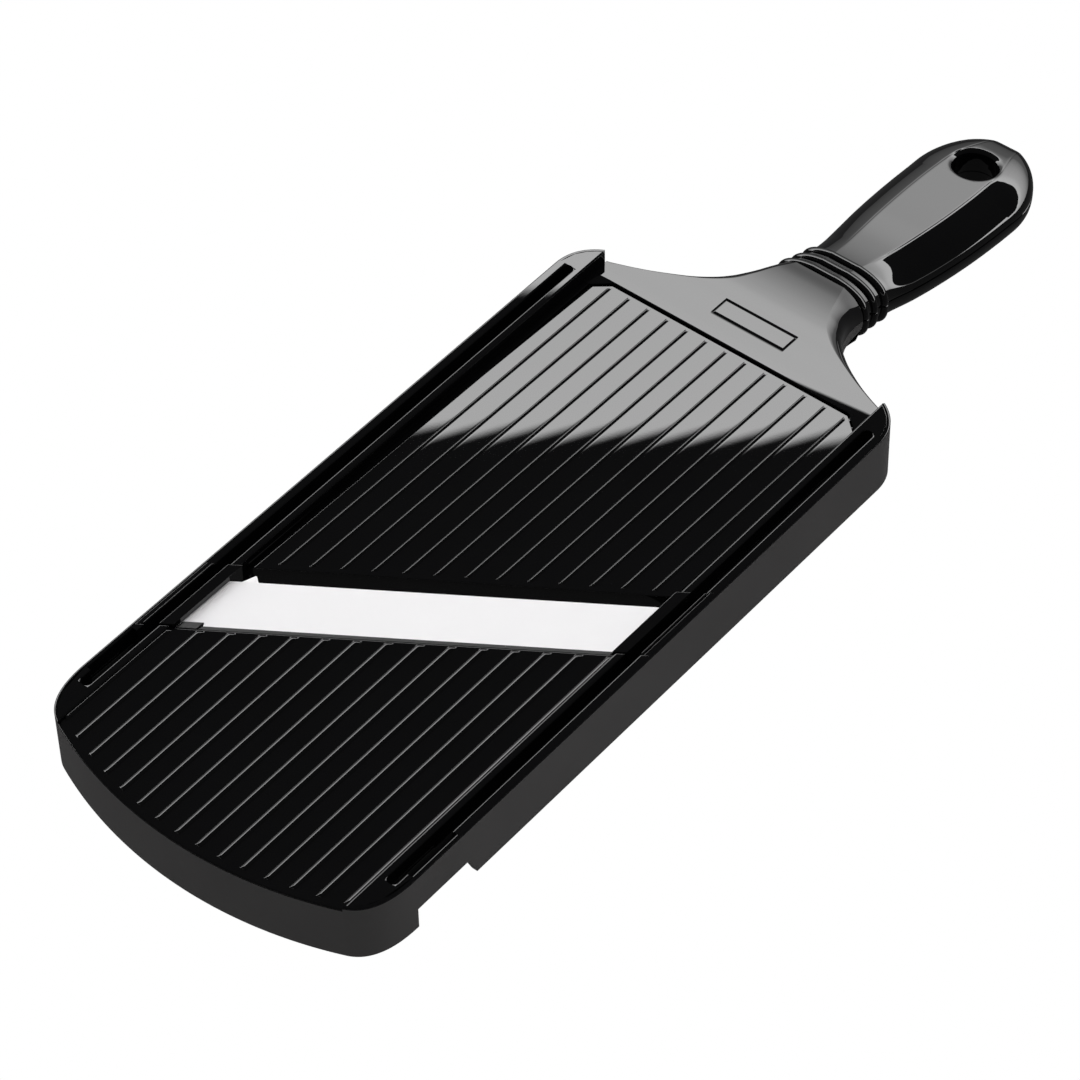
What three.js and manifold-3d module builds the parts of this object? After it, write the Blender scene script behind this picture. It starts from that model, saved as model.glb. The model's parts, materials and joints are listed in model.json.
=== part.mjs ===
// Adjustable mandoline slicer: a flat black body with a drooping handle, a fixed diagonal ceramic
// blade, and a hinged feed plate whose height below the blade is set by a cam rod underneath.
//
// Everything is drawn in the deck's own frame: +X runs along the body towards the handle, +Y to the
// left, +Z out of the deck, with the skirt's lower edge at z = 0. The whole deck group is then tipped
// by REST_TILT about Y, so that the slicer stands on its front edge and on the handle's underside.

import * as THREE from "three";
import { mergeVertices } from "three/addons/utils/BufferGeometryUtils.js";
import Module from "manifold-3d";

const wasm = await Module();
wasm.setup();

// ---- driving dimensions, millimetres --------------------------------------------------------------

const GAP = 0.3;
// Blocks that are joined into one piece run this far into each other.
const FUSE = 0.2;
// Radii of the holes a screw cuts its thread in, and of those it passes through.
const THREAD_HOLE = 1.6;
const CLEAR_HOLE = 1.7;
const WALL = 2.3;
const HALF_WIDTH = 60;

const RAIL_TOP = 20.5;
const LANDING_TOP = 19.5;
const BLADE_TOP = 18.5;
const NECK_TOP = 16.2;
const PLATE_TOP = 15.3;
const PLATE_THICK = 2.4;
const LIP = { bottom: 8.5, thick: 2.6 };
const ROOF = 2.5;

const FRONT_X = -154.3;
const FRONT_RADIUS = 130.9;
const PLATE_HEAD_X = 86.3;
const HEAD_CUT = { x: 4.8, y: 5.5 };
const NECK_END_X = 131;

const DEGREE = Math.PI / 180;
const REST_TILT = 3.0 * DEGREE;

// Every diagonal line of the slicer is x = offset + SLANT * y, and a line is named by its offset.
const SLANT = -0.67;
const SEAM_FRONT = -65;
const SEAM_REAR = -36;
const BLADE_REAR = -62.6;
const BLADE_EDGE = -41.5;
const PLATE_END = -34.9;

const DECK_HALF = 51.2;
const PLATE_HALF = 49;
const GROOVE_IN = 53.8;
const GROOVE_OUT = 57;
const GROOVE_FLOOR = 14.5;
const GROOVE_FRONT_X = -130;
const GROOVE_END_X = 81;
const GUARD_ENTRY = { x0: -127, x1: -106, out: 58.9 };
const RAIL_BOTTOM = 12;
const LEDGE = { bottom: 7, top: 9 };
const SEAT_HALF = 57.9;
const CLAMP_SCREW = { y: 54.7, rear: -59, front: -42 };

const RIB_PITCH = 7.26;
const RIB_WIDTH = 1.1;
const RIB_HEIGHT = 0.55;

const NOTCH = { x0: -125, x1: -103.6, slope: 3.3, height: 7.3 };
const SIGN_PANEL = { x0: 94.9, x1: 102.3, half: 13.4, depth: 0.5 };

const HINGE = { x: 84, z: 12, pin: 1.5, y0: 42.3, y1: 56 };
const EAR = { x: 79.5, y0: 42, y1: 48.7, bottom: 9.6 };
const STIFFENER = { places: [-30, 0, 30], half: 1, x0: 26, x1: 79, bottom: 10.6 };
const ROD = { x: 14, z: 8, shaft: 3.2, journal: 2.2, shaftEnd: 49.2, end: 56.8 };
const CAM = { y: 38, width: 8, level: 4.2, perRadian: 0.3122, turn: 270, step: 9, pad: 5 };
const BEARING = { x0: 6, x1: 22, y0: 49.6, y1: 57.4, screwX: 5.2, screwY: 53.5, capBottom: 3.6 };

const HOLE = { x: 212, radius: 7.3, collar: 2.2 };
const TANG = { half: 8, thick: 2.5, end: 197 };
const HANDLE_SCREWS = [150, 170, 190];
const SCREW_WELL = { radius: 3.4, deep: 3.2 };
const BEADS = { first: 133, pitch: 5.4, count: 3, width: 1.5, height: 1.1 };

// The plate and the rod are drawn with the plate level, which is the thickest setting. The slicer is
// shown at its thinnest, with the rod turned to the cam's high end and the plate tilted up with it.
const ROD_SETTING = CAM.turn * DEGREE;
const PLATE_SETTING = CAM.perRadian * ROD_SETTING / (HINGE.x - ROD.x);

// ---- solids ---------------------------------------------------------------------------------------

function solid(geometry) {
  const bare = geometry.clone();
  bare.deleteAttribute("normal");
  bare.deleteAttribute("uv");
  const merged = mergeVertices(bare, 1e-4);
  return new wasm.Manifold(new wasm.Mesh({
    numProp: 3,
    vertProperties: new Float32Array(merged.attributes.position.array),
    triVerts: new Uint32Array(merged.index.array),
  }));
}

function join(solids) {
  return solids.reduce((whole, piece) => whole.add(piece));
}

function toShape(points) {
  return new THREE.Shape(points.map(([u, v]) => new THREE.Vector2(u, v)));
}

function extrude(points, depth) {
  return new THREE.ExtrudeGeometry(toShape(points), { depth, bevelEnabled: false });
}

// Outline in plan (x, y), standing between two heights.
function prism(points, z0, z1) {
  return solid(extrude(points, z1 - z0).translate(0, 0, z0));
}

// Outline in side view (x, z), running across from y0 to y1.
function sideBar(points, y0, y1) {
  const geometry = extrude(points, y1 - y0).rotateX(Math.PI / 2);
  return solid(geometry.translate(0, y1, 0));
}

// The same bar with its ends on lines parallel to the blade: x gains SLANT * y.
function slantBar(points, y0, y1) {
  const geometry = extrude(points, y1 - y0).rotateX(Math.PI / 2).translate(0, y1, 0);
  const shear = new THREE.Matrix4().set(1, SLANT, 0, 0, 0, 1, 0, 0, 0, 0, 1, 0, 0, 0, 0, 1);
  return solid(geometry.applyMatrix4(shear));
}

function rectangle(u0, u1, v0, v1) {
  return [[u0, v0], [u1, v0], [u1, v1], [u0, v1]];
}

function block(x0, x1, y0, y1, z0, z1) {
  return prism(rectangle(x0, x1, y0, y1), z0, z1);
}

function slantBlock(u0, u1, y0, y1, z0, z1) {
  return slantBar(rectangle(u0, u1, z0, z1), y0, y1);
}

function cylinderZ(x, y, z0, z1, radius, segments = 24) {
  const geometry = new THREE.CylinderGeometry(radius, radius, z1 - z0, segments);
  return solid(geometry.rotateX(Math.PI / 2).translate(x, y, (z0 + z1) / 2));
}

function cylinderY(x, z, y0, y1, radius, segments = 24) {
  const geometry = new THREE.CylinderGeometry(radius, radius, y1 - y0, segments);
  return solid(geometry.translate(x, (y0 + y1) / 2, z));
}

// The same solid on the left (+y) and the right (-y), from a function of the side's sign.
function bothSides(make) {
  return make(1).add(make(-1));
}

function sideBlock(side, x0, x1, y0, y1, z0, z1) {
  return block(x0, x1, Math.min(side * y0, side * y1), Math.max(side * y0, side * y1), z0, z1);
}

function sideSlantBlock(side, u0, u1, y0, y1, z0, z1) {
  return slantBlock(u0, u1, Math.min(side * y0, side * y1), Math.max(side * y0, side * y1), z0, z1);
}

function mirrored(half) {
  const other = half.slice(1, -1).reverse().map(([x, y]) => [x, -y]);
  return [...half, ...other];
}

// ---- materials ------------------------------------------------------------------------------------

function plastic(color, roughness) {
  return new THREE.MeshStandardMaterial({ color, roughness, metalness: 0 });
}

function steel() {
  return new THREE.MeshStandardMaterial({ color: 0xb9bbbd, roughness: 0.3, metalness: 1 });
}

const deck = new THREE.Group();

// A group that turns its pieces about a line across the deck, through (x, z).
function turned(x, z, angle) {
  const hinge = new THREE.Group();
  hinge.position.set(x, 0, z);
  hinge.rotation.y = angle;
  const pieces = new THREE.Group();
  pieces.position.set(-x, 0, -z);
  hinge.add(pieces);
  deck.add(hinge);
  return pieces;
}

function addPiece(name, body, material, group = deck) {
  const { vertProperties, triVerts } = body.getMesh();
  const geometry = new THREE.BufferGeometry();
  geometry.setAttribute("position", new THREE.BufferAttribute(vertProperties, 3));
  geometry.setIndex(new THREE.BufferAttribute(triVerts, 1));
  geometry.computeVertexNormals();
  const mesh = new THREE.Mesh(geometry, material);
  mesh.name = name;
  group.add(mesh);
}

// ---- main frame -----------------------------------------------------------------------------------

// Plan of the body: bowed front, round corners, straight sides, shoulders that sweep into the neck.
function bodyOutline(inset) {
  const arcCentre = FRONT_X + FRONT_RADIUS;
  const cornerAngle = Math.asin(51.5 / FRONT_RADIUS);
  const path = new THREE.Path();
  path.absarc(arcCentre, 0, FRONT_RADIUS - inset, Math.PI, Math.PI - cornerAngle, true);
  path.quadraticCurveTo(-139.9 + inset, HALF_WIDTH - inset, -124.4, HALF_WIDTH - inset);
  path.lineTo(80, HALF_WIDTH - inset);
  path.quadraticCurveTo(89.6 - inset, HALF_WIDTH - 0.4 - inset, 94 - inset, 49.6 - inset * 0.5);
  const shoulder = [[99.4, 39], [106.2, 28.6], [113, 21.6], [121, 17.7], [NECK_END_X, 16.4]];
  path.splineThru(shoulder.map(([x, y]) => new THREE.Vector2(x - inset * 0.8, y - inset * 0.8)));
  path.lineTo(NECK_END_X - inset * 0.8, 0);
  const half = path.getPoints(10).map((point) => [point.x, point.y]);
  half[0][1] = 0;
  return mirrored(half);
}

// Side view of the body: level skirt and rails, then the neck bending down towards the handle.
function bodyProfile() {
  const skirt = [[-160, 0], [104, 0], [113, -1.5], [121, -3.6], [NECK_END_X, -6.8]];
  const neck = [[NECK_END_X, 12.1], [122, 14.7], [113, NECK_TOP], [94, NECK_TOP]];
  return [...skirt, ...neck, [94, RAIL_TOP], [-160, RAIL_TOP]];
}

function underHollow() {
  const roof = [[116, 12], [106, NECK_TOP - ROOF], [40, NECK_TOP - ROOF], [40, LANDING_TOP - ROOF]];
  const profile = [[-160, -10], [116, -10], ...roof, [-160, LANDING_TOP - ROOF]];
  const hollow = prism(bodyOutline(WALL), -10, 30).intersect(sideBar(profile, -80, 80));
  const rails = bothSides((side) => sideBlock(side, -132, 90, PLATE_HALF + GAP, 62, RAIL_BOTTOM, 30));
  const hinges = bothSides((side) => sideBlock(side, 79, 90, PLATE_HALF + GAP, 62, 7, 30));
  const bearings = bothSides((side) => sideBlock(side, BEARING.x0 - 1, BEARING.x1 + 1,
    BEARING.y0, 62, ROD.z + GAP / 2, 30));
  const ledges = bothSides((side) => sideSlantBlock(side, SEAM_FRONT - 1.8, SEAM_REAR + 1.8,
    PLATE_HALF + GAP, 62, LEDGE.bottom, 30));
  return hollow.subtract(join([rails, hinges, bearings, ledges]));
}

function feedOpening(half, headX) {
  return [
    [SEAM_REAR - SLANT * half, -half],
    [headX - HEAD_CUT.x, -half],
    [headX, -half + HEAD_CUT.y],
    [headX, half - HEAD_CUT.y],
    [headX - HEAD_CUT.x, half],
    [SEAM_REAR + SLANT * half, half],
  ];
}

function landingRibs() {
  const ribs = [];
  for (let i = -7; i <= 7; i += 1) {
    const y = i * RIB_PITCH;
    const front = FRONT_X + FRONT_RADIUS - Math.sqrt(FRONT_RADIUS ** 2 - y ** 2) + 1.6;
    const back = SEAM_FRONT - 1.4 + SLANT * y;
    ribs.push(block(front, back, y - RIB_WIDTH / 2, y + RIB_WIDTH / 2, LANDING_TOP - FUSE,
      LANDING_TOP + RIB_HEIGHT));
  }
  return join(ribs);
}

function guardGroove(side) {
  const middle = side * (GROOVE_IN + GROOVE_OUT) / 2;
  const radius = (GROOVE_OUT - GROOVE_IN) / 2;
  const top = RAIL_TOP + 1;
  const slot = sideBlock(side, GROOVE_FRONT_X + radius, GROOVE_END_X - radius, GROOVE_IN, GROOVE_OUT,
    GROOVE_FLOOR, top);
  const front = cylinderZ(GROOVE_FRONT_X + radius, middle, GROOVE_FLOOR, top, radius);
  const end = cylinderZ(GROOVE_END_X - radius, middle, GROOVE_FLOOR, top, radius);
  const entry = sideBlock(side, GUARD_ENTRY.x0, GUARD_ENTRY.x1, GROOVE_IN, GUARD_ENTRY.out,
    GROOVE_FLOOR, top);
  return join([slot, front, end, entry]);
}

function bowlNotch(side) {
  const shape = [
    [NOTCH.x0, -1],
    [NOTCH.x1 + NOTCH.slope + 0.5, -1],
    [NOTCH.x1, NOTCH.height],
    [NOTCH.x0, NOTCH.height],
  ];
  return side > 0 ? sideBar(shape, 48, 62) : sideBar(shape, -62, -48);
}

// Flat tongue that runs out of the neck into the handle, following the handle's drooping axis.
function tangBar(grow) {
  const top = [];
  const bottom = [];
  for (let x = NECK_END_X - 4; x <= TANG.end + grow; x += 7) {
    top.unshift([x, handleStation(x).z + TANG.thick + grow]);
    bottom.push([x, handleStation(x).z - TANG.thick - grow]);
  }
  return sideBar([...bottom, ...top], -TANG.half - grow, TANG.half + grow);
}

function tang() {
  return tangBar(0).subtract(join(HANDLE_SCREWS.map((x) => cylinderZ(x, 0, -30, 30, CLEAR_HOLE))));
}

function clampScrewPlaces() {
  return [1, -1].flatMap((side) => [CLAMP_SCREW.rear, CLAMP_SCREW.front].map((u) => [
    side,
    u + SLANT * side * CLAMP_SCREW.y,
    side * CLAMP_SCREW.y,
  ]));
}

function capScrewPlaces() {
  return [1, -1].flatMap((side) => [-1, 1].map((way) => [
    side,
    ROD.x + way * BEARING.screwX,
    side * BEARING.screwY,
  ]));
}

function mainFrame() {
  const whole = prism(bodyOutline(0), -20, 30).intersect(sideBar(bodyProfile(), -80, 80));
  const landing = slantBlock(-400, SEAM_FRONT, -DECK_HALF, DECK_HALF, LANDING_TOP, 30);
  const seat = slantBlock(SEAM_FRONT, SEAM_REAR, -SEAT_HALF, SEAT_HALF, LEDGE.top, 30);
  const mouth = slantBlock(SEAM_FRONT, SEAM_REAR, -PLATE_HALF - GAP, PLATE_HALF + GAP, -5, 30);
  const head = PLATE_HEAD_X + GAP;
  const opening = prism(feedOpening(PLATE_HALF + GAP, head), -10, 30);
  const openingTop = prism(feedOpening(DECK_HALF, head), NECK_TOP - 0.3, 30);
  const neckPlane = block(head - 0.1, 99, -DECK_HALF, DECK_HALF, NECK_TOP, 30);
  const sign = block(SIGN_PANEL.x0, SIGN_PANEL.x1, -SIGN_PANEL.half, SIGN_PANEL.half,
    NECK_TOP - SIGN_PANEL.depth, 30);
  const journals = cylinderY(ROD.x, ROD.z, -57.1, 57.1, ROD.journal + GAP);
  const pins = cylinderY(HINGE.x, HINGE.z, -HINGE.y1 - GAP, HINGE.y1 + GAP, HINGE.pin + GAP);
  const clampHoles = clampScrewPlaces().map(([, x, y]) => cylinderZ(x, y, 5, 10, CLEAR_HOLE));
  const capHoles = capScrewPlaces().map(([, x, y]) => cylinderZ(x, y, 5, 11.8, THREAD_HOLE));
  const cuts = [underHollow(), landing, seat, mouth, opening, openingTop, neckPlane, sign, journals,
    pins, bothSides(guardGroove), bothSides(bowlNotch), ...clampHoles, ...capHoles];
  return whole.subtract(join(cuts)).add(landingRibs()).add(tang());
}

// ---- feed plate -----------------------------------------------------------------------------------

// The ramp that carries the food to the blade. It hinges at its head; two pads rest on the rod's cams.
function feedPlate() {
  const outline = [
    [PLATE_END - SLANT * PLATE_HALF, -PLATE_HALF],
    [PLATE_HEAD_X - HEAD_CUT.x, -PLATE_HALF],
    [PLATE_HEAD_X, -PLATE_HALF + HEAD_CUT.y],
    [PLATE_HEAD_X, PLATE_HALF - HEAD_CUT.y],
    [PLATE_HEAD_X - HEAD_CUT.x, PLATE_HALF],
    [PLATE_END + SLANT * PLATE_HALF, PLATE_HALF],
  ];
  const bottom = PLATE_TOP - PLATE_THICK;
  const joined = bottom + FUSE;
  const sheet = prism(outline, bottom, PLATE_TOP);
  const lip = slantBlock(PLATE_END, PLATE_END + LIP.thick, -PLATE_HALF, PLATE_HALF, LIP.bottom, joined);
  const ribs = [];
  for (let i = -6; i <= 6; i += 1) {
    const y = i * RIB_PITCH;
    const front = PLATE_END + 2.3 + SLANT * y;
    ribs.push(block(front, PLATE_HEAD_X - 1.6, y - RIB_WIDTH / 2, y + RIB_WIDTH / 2, PLATE_TOP - FUSE,
      PLATE_TOP + RIB_HEIGHT));
  }
  const ears = bothSides((side) => sideBlock(side, EAR.x, PLATE_HEAD_X, EAR.y0, EAR.y1, EAR.bottom,
    joined));
  const padBottom = ROD.z + CAM.level + GAP;
  const pads = bothSides((side) => sideBlock(side, ROD.x - CAM.pad, ROD.x + CAM.pad,
    CAM.y - CAM.width / 2, CAM.y + CAM.width / 2, padBottom, joined));
  const stiffeners = STIFFENER.places.map((y) => block(STIFFENER.x0, STIFFENER.x1,
    y - STIFFENER.half, y + STIFFENER.half, STIFFENER.bottom, joined));
  const pins = cylinderY(HINGE.x, HINGE.z, -60, 60, HINGE.pin + GAP);
  return join([sheet, lip, ...ribs, ears, pads, ...stiffeners]).subtract(pins);
}

// ---- blade and its carrier ------------------------------------------------------------------------

function bladeCarrier() {
  const rear = SEAM_FRONT + GAP;
  const seatTop = BLADE_TOP - 1.8;
  const beam = slantBlock(rear, BLADE_EDGE - 4, -53.2, 53.2, 12.2, seatTop);
  const keel = slantBlock(rear, rear + 2.6, -49, 49, 8, 12.4);
  const backWall = slantBlock(rear, BLADE_REAR - GAP, -50, 50, seatTop - 0.2, BLADE_TOP + 0.6);
  const hold = slantBlock(rear, BLADE_REAR + 2, 45, 50, BLADE_TOP + GAP, BLADE_TOP + 1);
  const holdRoot = slantBlock(rear, BLADE_REAR - GAP, 45, 50, BLADE_TOP, BLADE_TOP + 1);
  const tabs = bothSides((side) => sideSlantBlock(side, rear, SEAM_REAR - GAP, 49.6, 57.6,
    LEDGE.top + GAP, 11.2));
  const posts = bothSides((side) => sideSlantBlock(side, rear, BLADE_EDGE - 4, 49.6, 53.2, 11, 12.4));
  const holes = clampScrewPlaces().map(([, x, y]) => cylinderZ(x, y, 5, 13, CLEAR_HOLE));
  return join([beam, keel, backWall, hold, holdRoot, tabs, posts]).subtract(join(holes));
}

// White ceramic plate, ground to an edge from below, with one small lug on the cutting edge.
function ceramicBlade() {
  const under = BLADE_TOP - 1.5;
  const section = [
    [BLADE_REAR, under],
    [BLADE_EDGE - 2.8, under],
    [BLADE_EDGE, BLADE_TOP - 0.15],
    [BLADE_EDGE, BLADE_TOP],
    [BLADE_REAR, BLADE_TOP],
  ];
  const lugY = 45.8;
  const edgeX = BLADE_EDGE + SLANT * lugY;
  const lug = prism([
    [edgeX - 3 - SLANT * 2, lugY - 2],
    [edgeX - SLANT * 2, lugY - 2],
    [edgeX + 3.1, lugY + 0.3],
    [edgeX + SLANT * 2, lugY + 2],
    [edgeX - 3 + SLANT * 2, lugY + 2],
  ], under + 0.2, BLADE_TOP);
  return slantBar(section, -53.2, 53.2).add(lug);
}

// Rail section that closes over each end of the blade and carries the guard's groove across it.
function bladeEndClamp(side) {
  const rear = SEAM_FRONT + GAP;
  const front = SEAM_REAR - GAP;
  const top = RAIL_TOP + 0.3;
  const floor = sideSlantBlock(side, rear, front, 53.5, 57.6, 11.5, top);
  const cover = sideSlantBlock(side, rear, front, 50.4, 53.7, BLADE_TOP + GAP, top);
  const foot = sideSlantBlock(side, BLADE_EDGE + GAP, front, 50.4, 53.7, 11.5, BLADE_TOP + 0.5);
  const groove = sideSlantBlock(side, rear - 5, front + 5, GROOVE_IN, GROOVE_OUT, GROOVE_FLOOR, 30);
  const holes = clampScrewPlaces().map(([, x, y]) => cylinderZ(x, y, 5, 14.2, THREAD_HOLE));
  return join([floor, cover, foot]).subtract(groove).subtract(join(holes));
}

// ---- thickness rod --------------------------------------------------------------------------------

// Snail cam: its radius grows evenly with angle over the working turn, then falls back.
function camOutline() {
  const points = [];
  for (let angle = -CAM.turn; angle <= 0; angle += CAM.step) {
    points.push([angle * DEGREE, CAM.level - CAM.perRadian * angle * DEGREE]);
  }
  return points.map(([angle, radius]) => [radius * Math.sin(angle), radius * Math.cos(angle)]);
}

function thicknessRod() {
  const shaft = cylinderY(ROD.x, ROD.z, -ROD.shaftEnd, ROD.shaftEnd, ROD.shaft);
  const journals = cylinderY(ROD.x, ROD.z, -ROD.end, ROD.end, ROD.journal);
  const outline = camOutline().map(([x, z]) => [ROD.x + x, ROD.z + z]);
  const cams = [-CAM.y, CAM.y].map((y) => sideBar(outline, y - CAM.width / 2, y + CAM.width / 2));
  const flutes = [];
  for (let i = 0; i < 40; i += 1) {
    const angle = i / 40 * 2 * Math.PI;
    const radius = 4.3 + 0.35 * Math.cos(8 * angle);
    flutes.push([ROD.x + radius * Math.cos(angle), ROD.z + radius * Math.sin(angle)]);
  }
  return join([shaft, journals, ...cams, sideBar(flutes, -22, 22)]);
}

function rodCap(side) {
  const cap = sideBlock(side, BEARING.x0, BEARING.x1, BEARING.y0, BEARING.y1, BEARING.capBottom,
    ROD.z - GAP / 2);
  const journal = cylinderY(ROD.x, ROD.z, -60, 60, ROD.journal + GAP);
  const holes = capScrewPlaces().map(([, x, y]) => cylinderZ(x, y, 0, 10, THREAD_HOLE));
  return cap.subtract(journal).subtract(join(holes));
}

// ---- handle ---------------------------------------------------------------------------------------

// Half-width, centre height and half-thicknesses of the handle at a distance x along the deck.
function handleStation(x) {
  const stations = [
    [118, 18.6, 6.9, 9.4, 9.6],
    [NECK_END_X, 16.2, 2.7, 9.4, 9.5],
    [145, 15.1, -1.2, 9.2, 9.4],
    [159, 17.0, -3.9, 9.3, 9.6],
    [175, 18.8, -5.9, 9.5, 9.9],
    [200, 19.9, -8.6, 9.6, 10.2],
    [224, 19.3, -11.0, 9.5, 9.7],
    [236, 18.5, -12.0, 9.3, 9.3],
  ];
  const last = stations.length - 2;
  const found = stations.findIndex((station, i) => i < last && x <= stations[i + 1][0]);
  const index = found < 0 ? last : found;
  const before = stations[Math.max(index - 1, 0)];
  const from = stations[index];
  const to = stations[index + 1];
  const after = stations[Math.min(index + 2, last + 1)];
  const t = (x - from[0]) / (to[0] - from[0]);
  const blend = (k) => THREE.MathUtils.clamp(t, 0, 1) * (to[k] - from[k]) + from[k]
    + t * (t - 1) * ((t - 1) * slopeAt(before, from, to, k) + t * slopeAt(from, to, after, k)
    - (2 * t - 1) * (to[k] - from[k]));
  return { half: blend(1), z: blend(2), up: blend(3), down: blend(4) };
}

// Mean slope over a station, times the length of the interval that is being filled.
function slopeAt(left, middle, right, k) {
  return (right[k] - left[k]) / (right[0] - left[0]) * (right[0] - middle[0]);
}

function handleSection(x, scale, grow) {
  const { half, z, up, down } = handleStation(x);
  const points = [];
  const count = 24;
  for (let i = 0; i < count; i += 1) {
    const angle = i / count * 2 * Math.PI;
    const c = Math.cos(angle);
    const s = Math.sin(angle);
    const power = s < 0 ? 2 / 3.1 : 2 / 2.5;
    const thick = s < 0 ? down : up;
    const y = Math.sign(c) * Math.abs(c) ** power * (half * scale + grow);
    const height = Math.sign(s) * Math.abs(s) ** power * (thick * Math.sqrt(scale) + grow);
    points.push([x, y, z + height]);
  }
  return points;
}

// A closed skin through rings of equal length, with a fan over each end ring.
function loft(rings) {
  const count = rings[0].length;
  const positions = rings.flat(2);
  const index = [];
  rings.slice(1).forEach((ring, j) => {
    ring.forEach((point, i) => {
      const a = j * count + i;
      const b = j * count + (i + 1) % count;
      index.push(a, b, a + count, b, b + count, a + count);
    });
  });
  const lastStart = (rings.length - 1) * count;
  for (let i = 1; i < count - 1; i += 1) {
    index.push(0, i + 1, i);
    index.push(lastStart, lastStart + i, lastStart + i + 1);
  }
  const geometry = new THREE.BufferGeometry();
  geometry.setAttribute("position", new THREE.Float32BufferAttribute(positions, 3));
  geometry.setIndex(index);
  return solid(geometry);
}

function beadHeight(x) {
  let height = 0;
  for (let i = 0; i < BEADS.count; i += 1) {
    const offset = (x - BEADS.first - i * BEADS.pitch) / BEADS.width;
    height += Math.abs(offset) < 1 ? BEADS.height * Math.sqrt(1 - offset ** 2) : 0;
  }
  return height;
}

const ROUND_START_X = 207;
const ROUND_LENGTH = 25;

function handleOuter() {
  const rings = [];
  for (let x = NECK_END_X + GAP; x < 147; x += BEADS.pitch / 6) {
    rings.push(handleSection(x, 1, beadHeight(x)));
  }
  for (let x = 149; x <= ROUND_START_X; x += 4) {
    rings.push(handleSection(x, 1, 0));
  }
  for (let step = 1; step <= 9; step += 1) {
    const angle = step / 9.3 * Math.PI / 2;
    rings.push(handleSection(ROUND_START_X + ROUND_LENGTH * Math.sin(angle), Math.cos(angle), 0));
  }
  return loft(rings);
}

function handleInner() {
  const rings = [];
  for (let x = NECK_END_X - 1; x <= ROUND_START_X; x += 7) {
    rings.push(handleSection(x, 1, -WALL));
  }
  for (const step of [1, 2, 3]) {
    const angle = step / 4.4 * Math.PI / 2;
    const x = ROUND_START_X + (ROUND_LENGTH - 2 * WALL) * Math.sin(angle);
    rings.push(handleSection(x, Math.cos(angle), -WALL * Math.cos(angle)));
  }
  return loft(rings);
}

// Everything above (way 1) or below (way -1) the handle's parting surface.
function partingSide(way) {
  const line = [];
  for (let x = 120; x <= 240; x += 8) {
    line.push([x, handleStation(x).z + way * GAP / 2]);
  }
  const far = way * 60;
  const outline = way > 0
    ? [...line, [240, far], [120, far]]
    : [[120, far], [240, far], ...line.reverse()];
  return sideBar(outline, -40, 40);
}

// The floor, as a half space in the deck's frame: the handle's underside is cut flat by it.
function aboveFloor() {
  const drop = (x) => -(x - FRONT_X) * Math.tan(REST_TILT);
  return sideBar([[100, drop(100)], [250, drop(250)], [250, 40], [100, 40]], -40, 40);
}

function screwBoss(x, way) {
  const { z, up, down } = handleStation(x);
  const far = way > 0 ? z + up - 1 : z - down + 1;
  return cylinderZ(x, 0, Math.min(z, far), Math.max(z, far), 4.2);
}

function handleShell(way) {
  const half = handleOuter().intersect(partingSide(way));
  const collar = cylinderZ(HOLE.x, 0, -40, 30, HOLE.radius + HOLE.collar);
  const hollow = handleInner().subtract(collar);
  const bosses = HANDLE_SCREWS.map((x) => screwBoss(x, way));
  const shell = half.subtract(hollow).add(join(bosses).subtract(tangBar(GAP)).intersect(half));
  const hole = cylinderZ(HOLE.x, 0, -40, 30, HOLE.radius, 40);
  return shell.subtract(hole).intersect(aboveFloor());
}

function handleUpper() {
  const holes = HANDLE_SCREWS.map((x) => {
    const { z, up } = handleStation(x);
    return cylinderZ(x, 0, z - 5, z + up - 2.2, THREAD_HOLE);
  });
  return handleShell(1).subtract(join(holes));
}

function handleLower() {
  const holes = HANDLE_SCREWS.flatMap((x) => {
    const { z, down } = handleStation(x);
    const well = cylinderZ(x, 0, z - 30, z - down + SCREW_WELL.deep, SCREW_WELL.radius);
    return [cylinderZ(x, 0, z - 30, z + 5, CLEAR_HOLE), well];
  });
  return handleShell(-1).subtract(join(holes));
}

// ---- fasteners ------------------------------------------------------------------------------------

// Pan-head cross-recess screw driven upwards: the head's face is at z, the tip at z + head + length.
function screw(x, y, z, length, headRadius, head) {
  const profile = [
    [0, 0],
    [headRadius * 0.72, 0],
    [headRadius, head * 0.55],
    [headRadius, head],
    [1.25, head],
    [1.25, head + length - 1],
    [0.4, head + length],
    [0, head + length],
  ];
  const lathe = new THREE.LatheGeometry(profile.map(([r, h]) => new THREE.Vector2(r, h)), 14);
  const body = solid(lathe.rotateX(Math.PI / 2).translate(x, y, z));
  const recess = join([block(x - 1.1, x + 1.1, y - 0.3, y + 0.3, z - 1, z + 0.9),
    block(x - 0.3, x + 0.3, y - 1.1, y + 1.1, z - 1, z + 0.9)]);
  return body.subtract(recess);
}

function hingePin(side) {
  const inner = side * HINGE.y0;
  const outer = side * HINGE.y1;
  return cylinderY(HINGE.x, HINGE.z, Math.min(inner, outer), Math.max(inner, outer), HINGE.pin);
}

// ---- assembly -------------------------------------------------------------------------------------

const sides = [["left", 1], ["right", -1]];
const glossBlack = () => plastic(0x0c0c0d, 0.12);
const satinBlack = () => plastic(0x161617, 0.35);

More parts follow.
